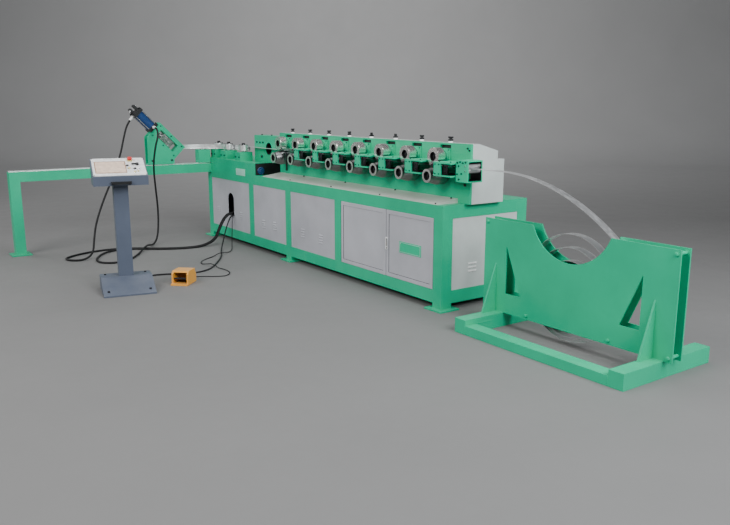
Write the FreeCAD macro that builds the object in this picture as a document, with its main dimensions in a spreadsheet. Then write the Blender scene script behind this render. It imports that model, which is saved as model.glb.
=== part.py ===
"""Round duct forming machine: a roll forming line that bends its strip to a ring.

Machine frame: X runs along the cabinet (the strip is fed towards -X), Y from the operator's
side to the back, Z up from the floor. Lengths are millimetres. Inside this file places are
counted from the cabinet's right front floor corner, and every sub-part's Placement then moves
it so that the origin is the bottom centre of the whole machine.
"""
import FreeCAD, Part
import math
import os
import Sketcher
from FreeCAD import Placement, Rotation, Vector

doc = FreeCAD.newDocument("DuctFormer")

DIMENSIONS = {
    # Cabinet frame of square tube, its feet and its sheet panels
    "tube": 100, "frame_depth": 880, "frame_top": 800, "rail_lift": 50,
    "foot_side": 190, "foot_thick": 12, "sheet": 3, "tray_depth": 20, "panel_set_back": 4,
    "door_bay": 1270, "left_bay": 970, "second_bay": 700, "door_gap": 5, "door_split": 697,
    "slot_from_left": 600, "slot_width": 150, "slot_low": 300, "slot_high": 556,
    "latch_width": 16, "latch_height": 100, "latch_low": 374, "latch_proud": 14,
    "pivot_radius": 6, "pivot_inset": 16, "seat_gap": 0.3, "badge_from_split": 177,
    "badge_width": 270, "badge_height": 90, "badge_low": 374, "badge_thick": 4,
    # Deck, drive unit on its shelf and the cords' gland block
    "deck": 6, "shelf_from_left": 450, "shelf_length": 610, "shelf_thick": 8, "shelf_inset": 30,
    "gear_from_left": 840, "gear_front": 120, "gear_side": 210, "gear_top": 770,
    "motor_radius": 105, "motor_length": 360, "motor_z": 480, "gland_front": 70,
    "gland_depth": 40, "gland_high": 420,
    # Roll housing on the cabinet
    "pitch": 347, "first_stand": 232, "stand_count": 8, "stand_margin": 189, "housing_face": 215,
    "face_plate": 20, "housing_right": 50, "housing_top": 1245, "cover_back": 560,
    "cover_low_top": 1127, "cover_step": 490, "cover_step_top": 1190, "cover_flat": 60,
    "skirt_rise": 35, "skirt_lip": 4, "skirt_right": 80,
    # Rolls, their shafts, bearing blocks and adjusting studs
    "lower_axis": 1004, "upper_axis": 1146, "lower_radius": 72, "strip_thick": 1.5, "nip_gap": 0.5,
    "shaft_radius": 22.5, "shaft_gap": 0.3, "lower_nose": 30, "upper_nose": 88, "nose_radius": 52,
    "socket_radius": 34, "socket_depth": 28, "hub_radius": 40, "hub_gap": 2, "block_width": 120,
    "block_height": 118, "block_proud": 14, "boss_radius": 48, "boss_proud": 10,
    "cut_margin": 1, "window_side": 2, "window_head": 26, "stud_radius": 12, "stud_height": 46,
    "collar_radius": 18, "collar_height": 12,
    # Guide boxes between the stands and the entry guide
    "guide_front": 32, "guide_clear": 6, "guide_low": 1010, "guide_high": 1116, "guide_wall": 12,
    "guide_post": 78, "link_front": 92, "link_height": 12, "link_gap": 12,
    "lever_length": 180, "lever_width": 14,
    "entry_front": 80, "entry_gap": 3, "entry_length": 125, "entry_low": 978, "entry_high": 1136,
    "entry_wall": 10, "entry_roller_radius": 17, "entry_roller_inset": 25, "entry_pin_radius": 6,
    "entry_pin_gap": 0.2,
    # Strip, loose coil and bent ring
    "strip_width": 66, "strip_mid": 155, "ring_radius": 400, "lip_width": 18, "lip_drop": 48, "lip_gap": 2,
    "ring_from_left": 390, "ring_sweep_deg": 98, "formed_length": 440, "feed_end": 420,
    "feed_turn_deg": 38, "coil_shoulder": 250, "coil_x": 1087, "coil_low": 35,
    "coil_radius": 395, "coil_slack": 47, "coil_top_step": 86, "coil_low_step": 27,
    "coil_turns": 3,
    # Transfer block and bending head
    "transfer_width": 550, "transfer_top": 1205, "transfer_front": 200, "transfer_back": 330,
    "transfer_hole": 65, "transfer_hole_from_right": 220, "transfer_hole_z": 1068,
    "transfer_hole_depth": 70, "head_run": 1390, "head_step": 155, "head_top": 925, "head_depth": 560,
    "bend_roll_radius": 56, "bend_roll_top": 1092, "bend_shaft_radius": 16, "bend_shaft_gap": 0.3,
    "drive_roll_step": 380, "push_roll_deg": 39.5, "slide_length": 150, "slide_width": 132,
    "slide_low_gap": 9,
    # Run-out beam with its post and the cutter
    "beam_reach": 2190, "beam_top": 860, "beam_hang": 40, "rail_height": 12, "rail_width": 60,
    "cutter_y": 378, "cutter_z": 991, "cutter_tilt_deg": 45, "channel_length": 395, "channel_half": 93,
    "channel_thick": 100, "channel_slot_half": 45, "channel_slot_low": 70, "channel_slot_high": 330,
    "bracket_reach": 24, "bracket_sheet": 16, "barrel_radius": 55, "barrel_length": 190,
    "cap_side": 120, "cap_length": 38, "ear_length": 62, "ear_thick": 22, "ear_gap": 34, "ear_width": 66,
    "blade_length": 150, "blade_gap": 5, "blade_stroke": 50, "rod_radius": 14, "rod_gap": 0.3,
    "rod_end_gap": 4,
    "exit_block_width": 100, "exit_block_gap": 5, "exit_block_depth": 145, "exit_block_top": 1020,
    # Coil cradle
    "cradle_left": 437, "cradle_length": 1360, "cradle_front": 250, "cradle_depth": 830,
    "cradle_beam": 100, "cradle_rail": 62, "plate_left": 339, "plate_right": 1850,
    "plate_top": 752, "plate_thick": 10, "plate_space": 78, "notch_x": 1085, "notch_z": 877,
    "notch_radius": 333, "window_low": 240, "window_high": 572, "window_foot": 141,
    "window_from_left": 211, "window_from_right": 224, "gusset_height": 345, "gusset_reach": 125,
    "gusset_thick": 12, "gusset_inset": 12, "spacer_radius": 11, "spacer_inset": 26,
    # Console and foot switch
    "console_x": 2142, "console_y": 1690, "console_turn_deg": 12, "plinth_ahead": 330,
    "plinth_behind": 90, "plinth_width": 415, "plinth_back": 112, "plinth_front": 12,
    "post_side": 117, "box_low": 883, "box_front": 960, "box_slope_deg": 24.5, "box_width": 432,
    "box_ahead": 150, "box_behind": 130, "panel_thick": 4, "panel_inset": 8, "handle_width": 156,
    "handle_reach": 34, "handle_bar": 24, "screen_low": 46, "screen_high": 240, "screen_left": 190,
    "screen_right": 56, "screen_proud": 3, "stop_up": 254, "stop_across": 98, "stop_radius": 20,
    "stop_travel": 6, "stop_head": 12, "stop_collar": 8, "stop_collar_radius": 24,
    "stem_radius": 10, "stem_gap": 0.3, "knob_up": 178, "knob_across": 150, "knob_radius": 13,
    "knob_height": 16, "knob_lever": 46, "knob_lever_width": 13, "knob_lever_height": 8,
    "switch_x": 2000, "switch_y": 1235, "switch_turn_deg": 44, "switch_width": 150,
    "switch_depth": 210, "switch_height": 122, "switch_wall": 14, "switch_brow": 79,
    "switch_mouth_end": 59, "pedal_length": 120,
    "pedal_gap": 6, "pedal_pivot_z": 31, "pedal_pin": 5, "pedal_rise": 20, "pedal_thick": 12,
    # Cords
    "hose_thick": 20, "console_cable_thick": 14, "pedal_cable_thick": 8,
}
ARC_SHARE = 0.45

sheet = doc.addObject("Spreadsheet::Sheet", "dims")
for row, (alias, number) in enumerate(DIMENSIONS.items(), 1):
    sheet.set(f"A{row}", alias)
    sheet.set(f"B{row}", str(number))
    sheet.setAlias(f"B{row}", alias)
doc.recompute()


class Size:
    """A number together with the sheet formula that it comes from."""

    def __init__(self, value, text):
        self.value = value
        self.text = text

    def __add__(self, other):
        other = as_size(other)
        return Size(self.value + other.value, f"({self.text} + {other.text})")

    def __sub__(self, other):
        other = as_size(other)
        return Size(self.value - other.value, f"({self.text} - {other.text})")

    def __mul__(self, other):
        other = as_size(other)
        return Size(self.value * other.value, f"({self.text} * {other.text})")

    def __truediv__(self, other):
        other = as_size(other)
        return Size(self.value / other.value, f"({self.text} / {other.text})")

    def __neg__(self):
        return Size(-self.value, f"(-1 * {self.text})")

    def __radd__(self, other):
        return as_size(other) + self

    def __rsub__(self, other):
        return as_size(other) - self

    def __rmul__(self, other):
        return as_size(other) * self


def as_size(value):
    return value if isinstance(value, Size) else Size(float(value), repr(float(value)))


def num(value):
    return value.value if isinstance(value, Size) else float(value)


class Sheet:
    """Gives each spreadsheet cell by its alias."""

    def __getattr__(self, alias):
        return Size(float(sheet.get(alias)), f"dims.{alias}")


D = Sheet()


def sine(degrees):
    return Size(math.sin(math.radians(num(degrees))), f"sin({as_size(degrees).text} * 1 deg)")


def cosine(degrees):
    return Size(math.cos(math.radians(num(degrees))), f"cos({as_size(degrees).text} * 1 deg)")


def bind(item, prop, size):
    """Ties a property to its sheet formula."""
    item.setExpression(prop, as_size(size).text)


def bind_place(item, x, y, z):
    for axis, size in zip("xyz", (x, y, z)):
        bind(item, f"Placement.Base.{axis}", size)


foot_lip = (D.foot_side - D.tube) / 2
stand_run = D.first_stand + (D.stand_count - 1) * D.pitch + D.stand_margin
frame_length = stand_run + D.head_run
left_end = -(frame_length + foot_lip)
right_end = D.plate_right
front_end = -(D.beam_reach + foot_lip)
back_end = D.frame_depth + foot_lip
origin_x = (left_end + right_end) / 2
origin_y = (front_end + back_end) / 2

nodes = []


def publish(label, item, x=0, y=0, z=0):
    """Registers a sub-part, placed at a machine point seen from the origin."""
    item.Label = label
    bind_place(item, as_size(x) - origin_x, as_size(y) - origin_y, as_size(z))
    nodes.append(item)
    return item


def box(x, y, z, length, width, height):
    item = doc.addObject("Part::Box", "Block")
    bind(item, "Length", length)
    bind(item, "Width", width)
    bind(item, "Height", height)
    bind_place(item, x, y, z)
    return item


AXIS_TURNS = {"x": Rotation(Vector(0, 1, 0), 90), "y": Rotation(Vector(1, 0, 0), -90), "z": Rotation()}


def rod(axis, x, y, z, radius, length):
    """A cylinder that starts at the given point and runs along +axis."""
    item = doc.addObject("Part::Cylinder", "Rod")
    item.Placement = Placement(Vector(), AXIS_TURNS[axis])
    bind(item, "Radius", radius)
    bind(item, "Height", length)
    bind_place(item, x, y, z)
    return item


def fuse(*items):
    item = doc.addObject("Part::MultiFuse", "Joined")
    item.Shapes = list(items)
    item.Refine = True
    return item


def cut(base, *tools):
    item = doc.addObject("Part::Cut", "CutOut")
    item.Base = base
    item.Tool = tools[0] if len(tools) == 1 else group(*tools)
    item.Refine = True
    return item


def group(*items):
    item = doc.addObject("Part::Compound", "Set")
    item.Links = list(items)
    return item


PLANES = {"xy": "XY_Plane", "xz": "XZ_Plane", "yz": "YZ_Plane"}


def new_sketch(body, plane, offset=None):
    sketch = body.newObject("Sketcher::SketchObject", "Outline")
    planes = {part.Role: part for part in body.Origin.OriginFeatures}
    sketch.AttachmentSupport = [(planes[PLANES[plane]], "")]
    sketch.MapMode = "FlatFace"
    if offset is not None:
        bind(sketch, "AttachmentOffset.Base.z", offset)
    return sketch


def outline(sketch, points):
    """Draws a closed outline whose corners are each held by two sheet formulas."""
    corners = [Vector(num(u), num(v), 0) for u, v in points]
    lines = []
    for index, corner in enumerate(corners):
        following = corners[(index + 1) % len(corners)]
        lines.append(sketch.addGeometry(Part.LineSegment(corner, following), False))
    for index, line in enumerate(lines):
        sketch.addConstraint(Sketcher.Constraint("Coincident", line, 2, lines[(index + 1) % len(lines)], 1))
    for line, (u, v) in zip(lines, points):
        for kind, size in (("DistanceX", u), ("DistanceY", v)):
            place = sketch.addConstraint(Sketcher.Constraint(kind, -1, 1, line, 1, num(size)))
            sketch.setExpression(f"Constraints[{place}]", as_size(size).text)


def ring(sketch, u, v, radius):
    """Draws a circle held by its centre and radius."""
    circle = sketch.addGeometry(Part.Circle(Vector(num(u), num(v), 0), Vector(0, 0, 1), num(radius)), False)
    for kind, size in (("DistanceX", u), ("DistanceY", v)):
        place = sketch.addConstraint(Sketcher.Constraint(kind, -1, 1, circle, 3, num(size)))
        sketch.setExpression(f"Constraints[{place}]", as_size(size).text)
    place = sketch.addConstraint(Sketcher.Constraint("Radius", circle, num(radius)))
    sketch.setExpression(f"Constraints[{place}]", as_size(radius).text)


def new_body(label, x=0, y=0, z=0):
    body = doc.addObject("PartDesign::Body", "Body")
    return publish(label, body, x, y, z)


def pad(body, plane, points, depth, offset=None, backward=False):
    sketch = new_sketch(body, plane, offset)
    outline(sketch, points)
    feature = body.newObject("PartDesign::Pad", "Pad")
    feature.Profile = sketch
    bind(feature, "Length", depth)
    feature.Reversed = backward
    return feature


def pocket(body, plane, draw, depth=None, offset=None, backward=False):
    """Cuts what draw puts into a sketch, through all or to a depth."""
    sketch = new_sketch(body, plane, offset)
    draw(sketch)
    feature = body.newObject("PartDesign::Pocket", "Pocket")
    feature.Profile = sketch
    feature.Reversed = backward
    if depth is None:
        feature.Type = "ThroughAll"
        feature.Midplane = True
    else:
        bind(feature, "Length", depth)
    return feature


def revolve(body, plane, points):
    """Turns a half outline, drawn as (radius, height), about the sketch's upright axis."""
    sketch = new_sketch(body, plane)
    outline(sketch, points)
    feature = body.newObject("PartDesign::Revolution", "Turned")
    feature.Profile = sketch
    feature.ReferenceAxis = (sketch, ["V_Axis"])
    feature.Angle = 360
    return feature


def pad_y(body, points, start, depth):
    """Pads an outline drawn in X and Z from Y = start towards the back."""
    return pad(body, "xz", points, depth, -as_size(start), True)


def pad_x(body, points, start, depth):
    """Pads an outline drawn in Y and Z from X = start to the right."""
    return pad(body, "yz", points, depth, as_size(start))


def rectangle(left, low, right, high):
    return [(left, low), (right, low), (right, high), (left, high)]


# Cabinet frame

tube = D.tube
rear = D.frame_depth - tube
left_post = -frame_length
left_mullion = left_post + tube + D.left_bay
mullions = [-(2 * tube + D.door_bay), left_mullion + tube + D.second_bay, left_mullion]
post_places = [(x, y) for x in (-tube, left_post) for y in (Size(0, "0"), rear)]
leg_places = [(mullions[1], y) for y in (Size(0, "0"), rear)]
rail_top = D.rail_lift + tube
opening_high = D.frame_top - tube



def footed_post(x, y, high):
    """An upright tube with the square plate it stands on."""
    foot = box(x - foot_lip, y - foot_lip, 0, D.foot_side, D.foot_side, D.foot_thick)
    return fuse(foot, box(x, y, D.foot_thick, tube, tube, high - D.foot_thick))


posts = [footed_post(x, y, D.frame_top) for x, y in post_places]
posts += [footed_post(x, y, D.rail_lift) for x, y in leg_places]
posts += [box(x, y, rail_top, tube, tube, opening_high - rail_top) for x in mullions for y in (0, rear)]
publish("frame_posts", group(*posts))

rails = []
for z in (D.rail_lift, opening_high):
    rails += [box(left_post + tube, y, z, frame_length - 2 * tube, tube, tube) for y in (0, rear)]
    rails += [box(x, tube, z, tube, rear - tube, tube) for x in (-tube, left_post)]
publish("frame_rails", group(*rails))

# Sheet panels, folded back along their edges

bays = list(zip([left_post] + mullions[::-1], mullions[::-1] + [-tube]))


def tray(left, right, y, inward):
    """A folded sheet panel between two posts, open towards the inside of the cabinet."""
    low, high, skin = rail_top, opening_high, D.sheet
    body = doc.addObject("PartDesign::Body", "Tray")
    pad_y(body, rectangle(left, low, right, high), y, D.tray_depth)
    hollow = rectangle(left + skin, low + skin, right - skin, high - skin)
    start = as_size(y) + skin if inward > 0 else as_size(y)
    pocket(body, "xz", lambda sketch: outline(sketch, hollow), D.tray_depth - skin, -start, False)
    return body


front_face = D.panel_set_back
back_face = D.frame_depth - D.panel_set_back - D.tray_depth
panels = []
for index, (left, right) in enumerate(bays):
    left = left + tube
    panels.append(tray(left, right, back_face, -1))
    if index == 0:
        first_panel = tray(left, right, front_face, 1)
        slot_mid = left + D.slot_from_left - tube
        half = D.slot_width / 2
        arch = D.slot_high - half
        pocket(first_panel, "xz", lambda sketch: outline(
            sketch, rectangle(slot_mid - half, D.slot_low, slot_mid + half, arch)))
        pocket(first_panel, "xz", lambda sketch: ring(sketch, slot_mid, arch, half))
        panels.append(first_panel)
    elif index < len(bays) - 1:
        panels.append(tray(left, right, front_face, 1))
for x in (-D.panel_set_back - D.tray_depth, left_post + D.panel_set_back):
    panels.append(box(x, tube, rail_top, D.tray_depth, rear - tube, opening_high - rail_top))

# Door leaves of the right-hand bay, each turning on pivots at its top and bottom edge

bay_left = mullions[0] + tube
bay_right = -tube
split = -D.door_split
pivot_y = front_face + D.tray_depth / 2


def door(label, left, right, pivot_x):
    body = new_body(label)
    low, high, skin = rail_top + D.door_gap, opening_high - D.door_gap, D.sheet
    pad_y(body, rectangle(left, low, right, high), front_face, D.tray_depth)
    hollow = rectangle(left + skin, low + skin, right - skin, high - skin)
    pocket(body, "xz", lambda sketch: outline(sketch, hollow), D.tray_depth - skin, -(front_face + skin))
    pivot_length = D.door_gap - D.seat_gap + skin
    for start in (rail_top + D.seat_gap, high - skin):
        sketch = new_sketch(body, "xy", start)
        ring(sketch, pivot_x, pivot_y, D.pivot_radius)
        pin = body.newObject("PartDesign::Pad", "Pivot")
        pin.Profile = sketch
        bind(pin, "Length", pivot_length)
    return body


door("door_left", bay_left + D.door_gap, split - D.door_gap / 2, bay_left + D.pivot_inset)
right_leaf = door("door_right", split + D.door_gap / 2, bay_right - D.door_gap, bay_right - D.pivot_inset)
latch_left = split + D.door_gap / 2 + tube * 0.03
latch = rectangle(latch_left, D.latch_low, latch_left + D.latch_width, D.latch_low + D.latch_height)
pad_y(right_leaf, latch, front_face - D.latch_proud, D.latch_proud)
badge_left = split + D.badge_from_split
badge = rectangle(badge_left, D.badge_low, badge_left + D.badge_width, D.badge_low + D.badge_height)
pad_y(right_leaf, badge, front_face - D.badge_thick, D.badge_thick)

# Raised head base at the left

stands = [-(D.first_stand + index * D.pitch) for index in range(int(num(D.stand_count)))]
housing_left = -stand_run
head_left = left_post
head_right = housing_left - D.head_step
head_base = new_body("head_base")
pad_y(head_base, rectangle(head_left, D.frame_top, head_right, D.head_top), 0, D.head_depth)

# Deck between the top rails, kept with the panels, and the drive unit that shows through the cable slot

deck_low = D.frame_top - D.deck
panels.append(box(left_post + tube, tube, deck_low, frame_length - 2 * tube, rear - tube, D.deck))
publish("cabinet_panels", group(*panels))

shelf = box(left_post + D.shelf_from_left, D.shelf_inset, rail_top, D.shelf_length,
            D.frame_depth - 2 * D.shelf_inset, D.shelf_thick)
shelf_top = rail_top + D.shelf_thick
gear_left = left_post + D.gear_from_left
gearbox = box(gear_left, D.gear_front, shelf_top, D.gear_side, D.gear_side, D.gear_top - shelf_top)
motor_y = D.gear_front + D.gear_side / 2
motor = rod("x", gear_left - D.motor_length, motor_y, D.motor_z, D.motor_radius, D.motor_length)
gland_block = box(slot_mid - D.slot_width / 2, D.gland_front, shelf_top, D.slot_width, D.gland_depth,
                  D.gland_high - shelf_top)
publish("drive_unit", group(fuse(shelf, gearbox, motor, gland_block)))

# Roll housing: front plate with a bore and a window at each stand, rear cover and skirt

face = D.housing_face
face_back = face + D.face_plate
bore = D.shaft_radius + D.shaft_gap
block_half = D.block_width / 2
block_low = D.upper_axis - D.block_height / 2
block_high = block_low + D.block_height

front_plate = new_body("housing_front_plate")
pad_y(front_plate, rectangle(housing_left, D.frame_top, D.housing_right, D.housing_top), face, D.face_plate)


def draw_bores(sketch):
    for x in stands:
        ring(sketch, x, D.lower_axis, bore)


def draw_windows(sketch):
    for x in stands:
        half = block_half + D.window_side
        outline(sketch, rectangle(x - half, block_low, x + half, block_high + D.window_head))


pocket(front_plate, "xz", draw_bores, D.face_plate, -face)
pocket(front_plate, "xz", draw_windows, D.face_plate, -face)

cover = new_body("housing_cover")
cover_profile = [(face_back, D.frame_top), (D.cover_back, D.frame_top), (D.cover_back, D.cover_low_top),
                 (D.cover_step, D.cover_low_top), (D.cover_step, D.cover_step_top),
                 (face_back + D.cover_flat, D.housing_top), (face_back, D.housing_top)]
pad_x(cover, cover_profile, housing_left, D.housing_right - housing_left)

skirt = new_body("skirt_strip")
skirt_profile = [(D.skirt_lip, D.frame_top), (face, D.frame_top), (face, D.frame_top + D.skirt_rise),
                 (D.skirt_lip, D.frame_top + D.skirt_lip)]
pad_x(skirt, skirt_profile, housing_left, -housing_left - D.skirt_right)

# Bearing blocks in the windows, adjusting studs above them

blocks = []
studs = []
boss_front = face - D.block_proud - D.boss_proud
over = D.cut_margin
for x in stands:
    block = box(x - block_half, face - D.block_proud, block_low, D.block_width,
                D.block_proud + D.face_plate, D.block_height)
    boss = rod("y", x, boss_front, D.upper_axis, D.boss_radius, D.boss_proud + D.block_proud)
    hole = rod("y", x, boss_front - over, D.upper_axis, bore, face_back - boss_front + 2 * over)
    blocks.append(cut(fuse(block, boss), hole))
    stud_y = face_back + D.cover_flat / 2
    collar = rod("z", x, stud_y, D.housing_top, D.collar_radius, D.collar_height)
    cap = rod("z", x, stud_y, D.housing_top, D.stud_radius, D.stud_height)
    studs.append(fuse(collar, cap))
publish("bearing_blocks", group(*blocks))

# Forming rolls, flared towards the back below and towards the front above

upper_radius = D.upper_axis - D.lower_axis - D.lower_radius - D.strip_thick - 2 * D.nip_gap
strip_low = D.lower_axis + D.lower_radius + D.nip_gap
strip_front = D.strip_mid - D.strip_width / 2
strip_back = D.strip_mid + D.strip_width / 2
shaft_end = face_back - D.hub_gap
nose_wall = D.nose_radius - D.socket_radius


def lower_roll(label, x):
    body = new_body(label, x, 0, D.lower_axis)
    nose = D.lower_nose
    revolve(body, "xy", [
        (0, nose + D.socket_depth), (D.socket_radius, nose + D.socket_depth), (D.socket_radius, nose),
        (D.nose_radius, nose), (D.nose_radius, nose + nose_wall),
        (D.lower_radius, strip_front - D.hub_gap), (D.lower_radius, strip_back + D.hub_gap),
        (D.hub_radius, strip_back + 2 * D.hub_gap), (D.hub_radius, face - D.hub_gap),
        (D.shaft_radius, face - D.hub_gap), (D.shaft_radius, shaft_end), (0, shaft_end)])


def upper_roll(label, x):
    body = new_body(label, x, 0, D.upper_axis)
    nose = D.upper_nose
    hub_end = boss_front - D.hub_gap
    revolve(body, "xy", [
        (0, nose + D.socket_depth), (D.socket_radius, nose + D.socket_depth), (D.socket_radius, nose),
        (upper_radius - D.hub_gap, nose), (upper_radius, nose + D.hub_gap), (upper_radius, D.strip_mid),
        (D.hub_radius, hub_end - D.hub_gap), (D.hub_radius, hub_end), (D.shaft_radius, hub_end),
        (D.shaft_radius, shaft_end), (0, shaft_end)])


for number, x in enumerate(stands, 1):
    lower_roll(f"lower_roll_{number}", x)
    upper_roll(f"upper_roll_{number}", x)

# Guide boxes between the stands, open at the front right

roll_clear = D.lower_radius + D.guide_clear
guide_length = D.pitch - 2 * roll_clear
guides = []
for x in stands[:-1]:
    left = x + roll_clear
    depth = face - D.guide_front
    wall = D.guide_wall
    shell = box(left, D.guide_front, D.guide_low, guide_length, depth, D.guide_high - D.guide_low)
    tunnel = box(left - over, D.guide_front + wall, D.guide_low + wall, guide_length + 2 * over, depth,
                 D.guide_high - D.guide_low - 2 * wall)
    mouth = box(left + D.guide_post, D.guide_front - over, D.guide_low + wall, guide_length, depth,
                D.guide_high - D.guide_low - 2 * wall)
    guides.append(cut(shell, tunnel, mouth))
publish("guide_boxes", group(*guides))

# Link bars and hanging stop lever between the last two stands

link_left = stands[-1] + roll_clear
link_depth = face - D.link_front
upper_link = box(link_left, D.link_front, strip_low + D.link_gap, guide_length, link_depth, D.link_height)
lower_link = box(link_left, D.link_front, strip_low - D.link_gap - D.link_height, guide_length,
                 link_depth, D.link_height)
lever_low = strip_low - D.link_gap - D.lever_length
lever = box(link_left + guide_length / 2, D.link_front - D.lever_width, lever_low,
            D.lever_width, D.lever_width, D.lever_length)
publish("stand_fittings", group(upper_link, fuse(lower_link, lever), *studs))

# Entry guide with a pair of rollers

entry_left = stands[0] + roll_clear + guide_length + D.entry_gap
entry_right = entry_left + D.entry_length
wall = D.entry_wall
entry_height = D.entry_high - D.entry_low
roller_x = entry_right - D.entry_roller_inset
lower_roller_z = strip_low - D.nip_gap - D.entry_roller_radius
upper_roller_z = strip_low + D.strip_thick + D.nip_gap + D.entry_roller_radius
entry_plate = box(entry_left, D.entry_front, D.entry_low, D.entry_length, wall, entry_height)
rear_plate = box(D.housing_right, face, D.entry_low, entry_right - D.housing_right, wall, entry_height)
covers = [box(entry_left, D.entry_front, z, D.entry_length, face - D.entry_front, wall)
          for z in (D.entry_low, D.entry_high - wall)]
pin_bores = [rod("y", roller_x, D.entry_front - over, z, D.entry_pin_radius + D.entry_pin_gap,
                 face - D.entry_front + wall + 2 * over) for z in (lower_roller_z, upper_roller_z)]
publish("entry_guide", group(cut(fuse(entry_plate, rear_plate, *covers), *pin_bores)))


def entry_roller(label, z):
    body = new_body(label, roller_x, 0, z)
    front, back = D.entry_front + wall, face
    revolve(body, "xy", [
        (0, front - wall), (D.entry_pin_radius, front - wall), (D.entry_pin_radius, front + D.hub_gap),
        (D.entry_roller_radius, front + D.hub_gap), (D.entry_roller_radius, back - D.hub_gap),
        (D.entry_pin_radius, back - D.hub_gap), (D.entry_pin_radius, back + wall), (0, back + wall)])


entry_roller("entry_roller_lower", lower_roller_z)
entry_roller("entry_roller_upper", upper_roller_z)

# Transfer block between the housing and the bending head

transfer = new_body("transfer_block")
transfer_left = housing_left - D.transfer_width
pad_y(transfer, rectangle(transfer_left, D.head_top, housing_left, D.transfer_top), D.transfer_front,
      D.transfer_back - D.transfer_front)
hole_x = housing_left - D.transfer_hole_from_right
pocket(transfer, "xz", lambda sketch: ring(sketch, hole_x, D.transfer_hole_z, D.transfer_hole),
       D.transfer_hole_depth, -D.transfer_front)

# Bending head: two drive rolls inside the ring and the push roll outside it

ring_x = left_post + D.ring_from_left
ring_y = D.strip_mid - D.ring_radius
lip_z = strip_low + D.strip_thick - D.lip_drop
bend_low = lip_z + D.strip_thick + D.lip_gap
inner_reach = D.strip_thick / 2 + D.nip_gap + D.bend_roll_radius
push_reach = D.ring_radius + inner_reach
bend_rolls = {
    "bend_roll_drive": (ring_x + D.drive_roll_step, D.strip_mid - inner_reach),
    "bend_roll_inner": (ring_x, D.strip_mid - inner_reach),
    "bend_roll_push": (ring_x - push_reach * sine(D.push_roll_deg),
                       ring_y + push_reach * cosine(D.push_roll_deg)),
}
slide_top = lip_z - D.slide_low_gap


def bend_roll(label, x, y):
    body = new_body(label, x, y, 0)
    revolve(body, "xz", [
        (0, slide_top - D.bend_shaft_radius), (D.bend_shaft_radius, slide_top - D.bend_shaft_radius),
        (D.bend_shaft_radius, bend_low), (D.bend_roll_radius, bend_low),
        (D.bend_roll_radius, D.bend_roll_top), (D.bend_shaft_radius, D.bend_roll_top),
        (D.bend_shaft_radius, D.bend_roll_top + D.hub_gap), (0, D.bend_roll_top + D.hub_gap)])


slides = []
for label, (x, y) in bend_rolls.items():
    bend_roll(label, x, y)
    slide = box(x - D.slide_width / 2, y - D.slide_length / 2, D.head_top, D.slide_width, D.slide_length,
                slide_top - D.head_top)
    seat = rod("z", x, y, slide_top - D.bend_shaft_radius - D.seat_gap,
               D.bend_shaft_radius + D.bend_shaft_gap, D.bend_shaft_radius + D.seat_gap + over)
    slides.append(cut(slide, seat))
publish("bending_slides", group(*slides))

# Run-out beam towards the operator with its end post, rail and exit block

beam_low = D.frame_top - D.beam_hang
beam_height = D.beam_top - beam_low
beam = box(left_post, -D.beam_reach, beam_low, tube, D.beam_reach, beam_height)
beam_post = box(left_post, -D.beam_reach, D.foot_thick, tube, tube, beam_low - D.foot_thick)
beam_foot = box(left_post - foot_lip, -D.beam_reach - foot_lip, 0, D.foot_side, D.foot_side, D.foot_thick)
rail = box(left_post + (tube - D.rail_width) / 2, -D.beam_reach, D.beam_top, D.rail_width, D.beam_reach,
           D.rail_height)
rail_level = D.beam_top + D.rail_height
publish("runout_beam", fuse(beam, beam_post, beam_foot, rail))
exit_block = box(0, 0, 0, D.exit_block_width, D.exit_block_depth, D.exit_block_top - rail_level)
publish("exit_block", exit_block, left_post, -D.exit_block_depth - D.exit_block_gap, rail_level)

# Cutter: a bracket on the rail, a channel tilted towards the ring, its blade and cylinder

cutter_x = left_post + tube / 2
tilt = D.cutter_tilt_deg
slope_y = sine(tilt)
slope_z = cosine(tilt)
half = D.channel_half


def along_channel(distance, across):
    """Gives Y and Z of a point measured up the channel and across it."""
    return (-D.cutter_y - distance * slope_y + across * slope_z,
            D.cutter_z + distance * slope_z + across * slope_y)


def tilted(label):
    body = new_body(label, cutter_x, -D.cutter_y, D.cutter_z)
    body.Placement.Rotation = Rotation(Vector(1, 0, 0), 45)
    bind(body, "Placement.Rotation.Angle", tilt)
    return body


channel = tilted("cutter_channel")
thick = D.channel_thick
pad_x(channel, rectangle(-half, 0, half, D.channel_length), -thick / 2, thick)
slot = rectangle(-D.channel_slot_half, D.channel_slot_low, D.channel_slot_half, D.channel_slot_high)
pocket(channel, "yz", lambda sketch: outline(sketch, slot))
rod_hole = new_sketch(channel, "xy", D.channel_slot_high)
ring(rod_hole, 0, 0, D.rod_radius + D.rod_gap)
rod_pocket = channel.newObject("PartDesign::Pocket", "RodHole")
rod_pocket.Profile = rod_hole
rod_pocket.Reversed = True
bind(rod_pocket, "Length", D.channel_length - D.channel_slot_high)

blade = tilted("cutter_blade")
blade_half = D.channel_slot_half - D.blade_gap
blade_low = D.channel_slot_low + D.blade_stroke + D.blade_gap
blade_high = blade_low + D.blade_length
pad_x(blade, rectangle(-blade_half, blade_low, blade_half, blade_high), -thick / 2 + D.blade_gap,
      thick - 2 * D.blade_gap)
rod_sketch = new_sketch(blade, "xy", blade_high)
ring(rod_sketch, 0, 0, D.rod_radius)
rod_pad = blade.newObject("PartDesign::Pad", "PistonRod")
rod_pad.Profile = rod_sketch
bind(rod_pad, "Length", D.channel_length - blade_high + D.cap_length + D.blade_stroke - D.rod_end_gap)

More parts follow.
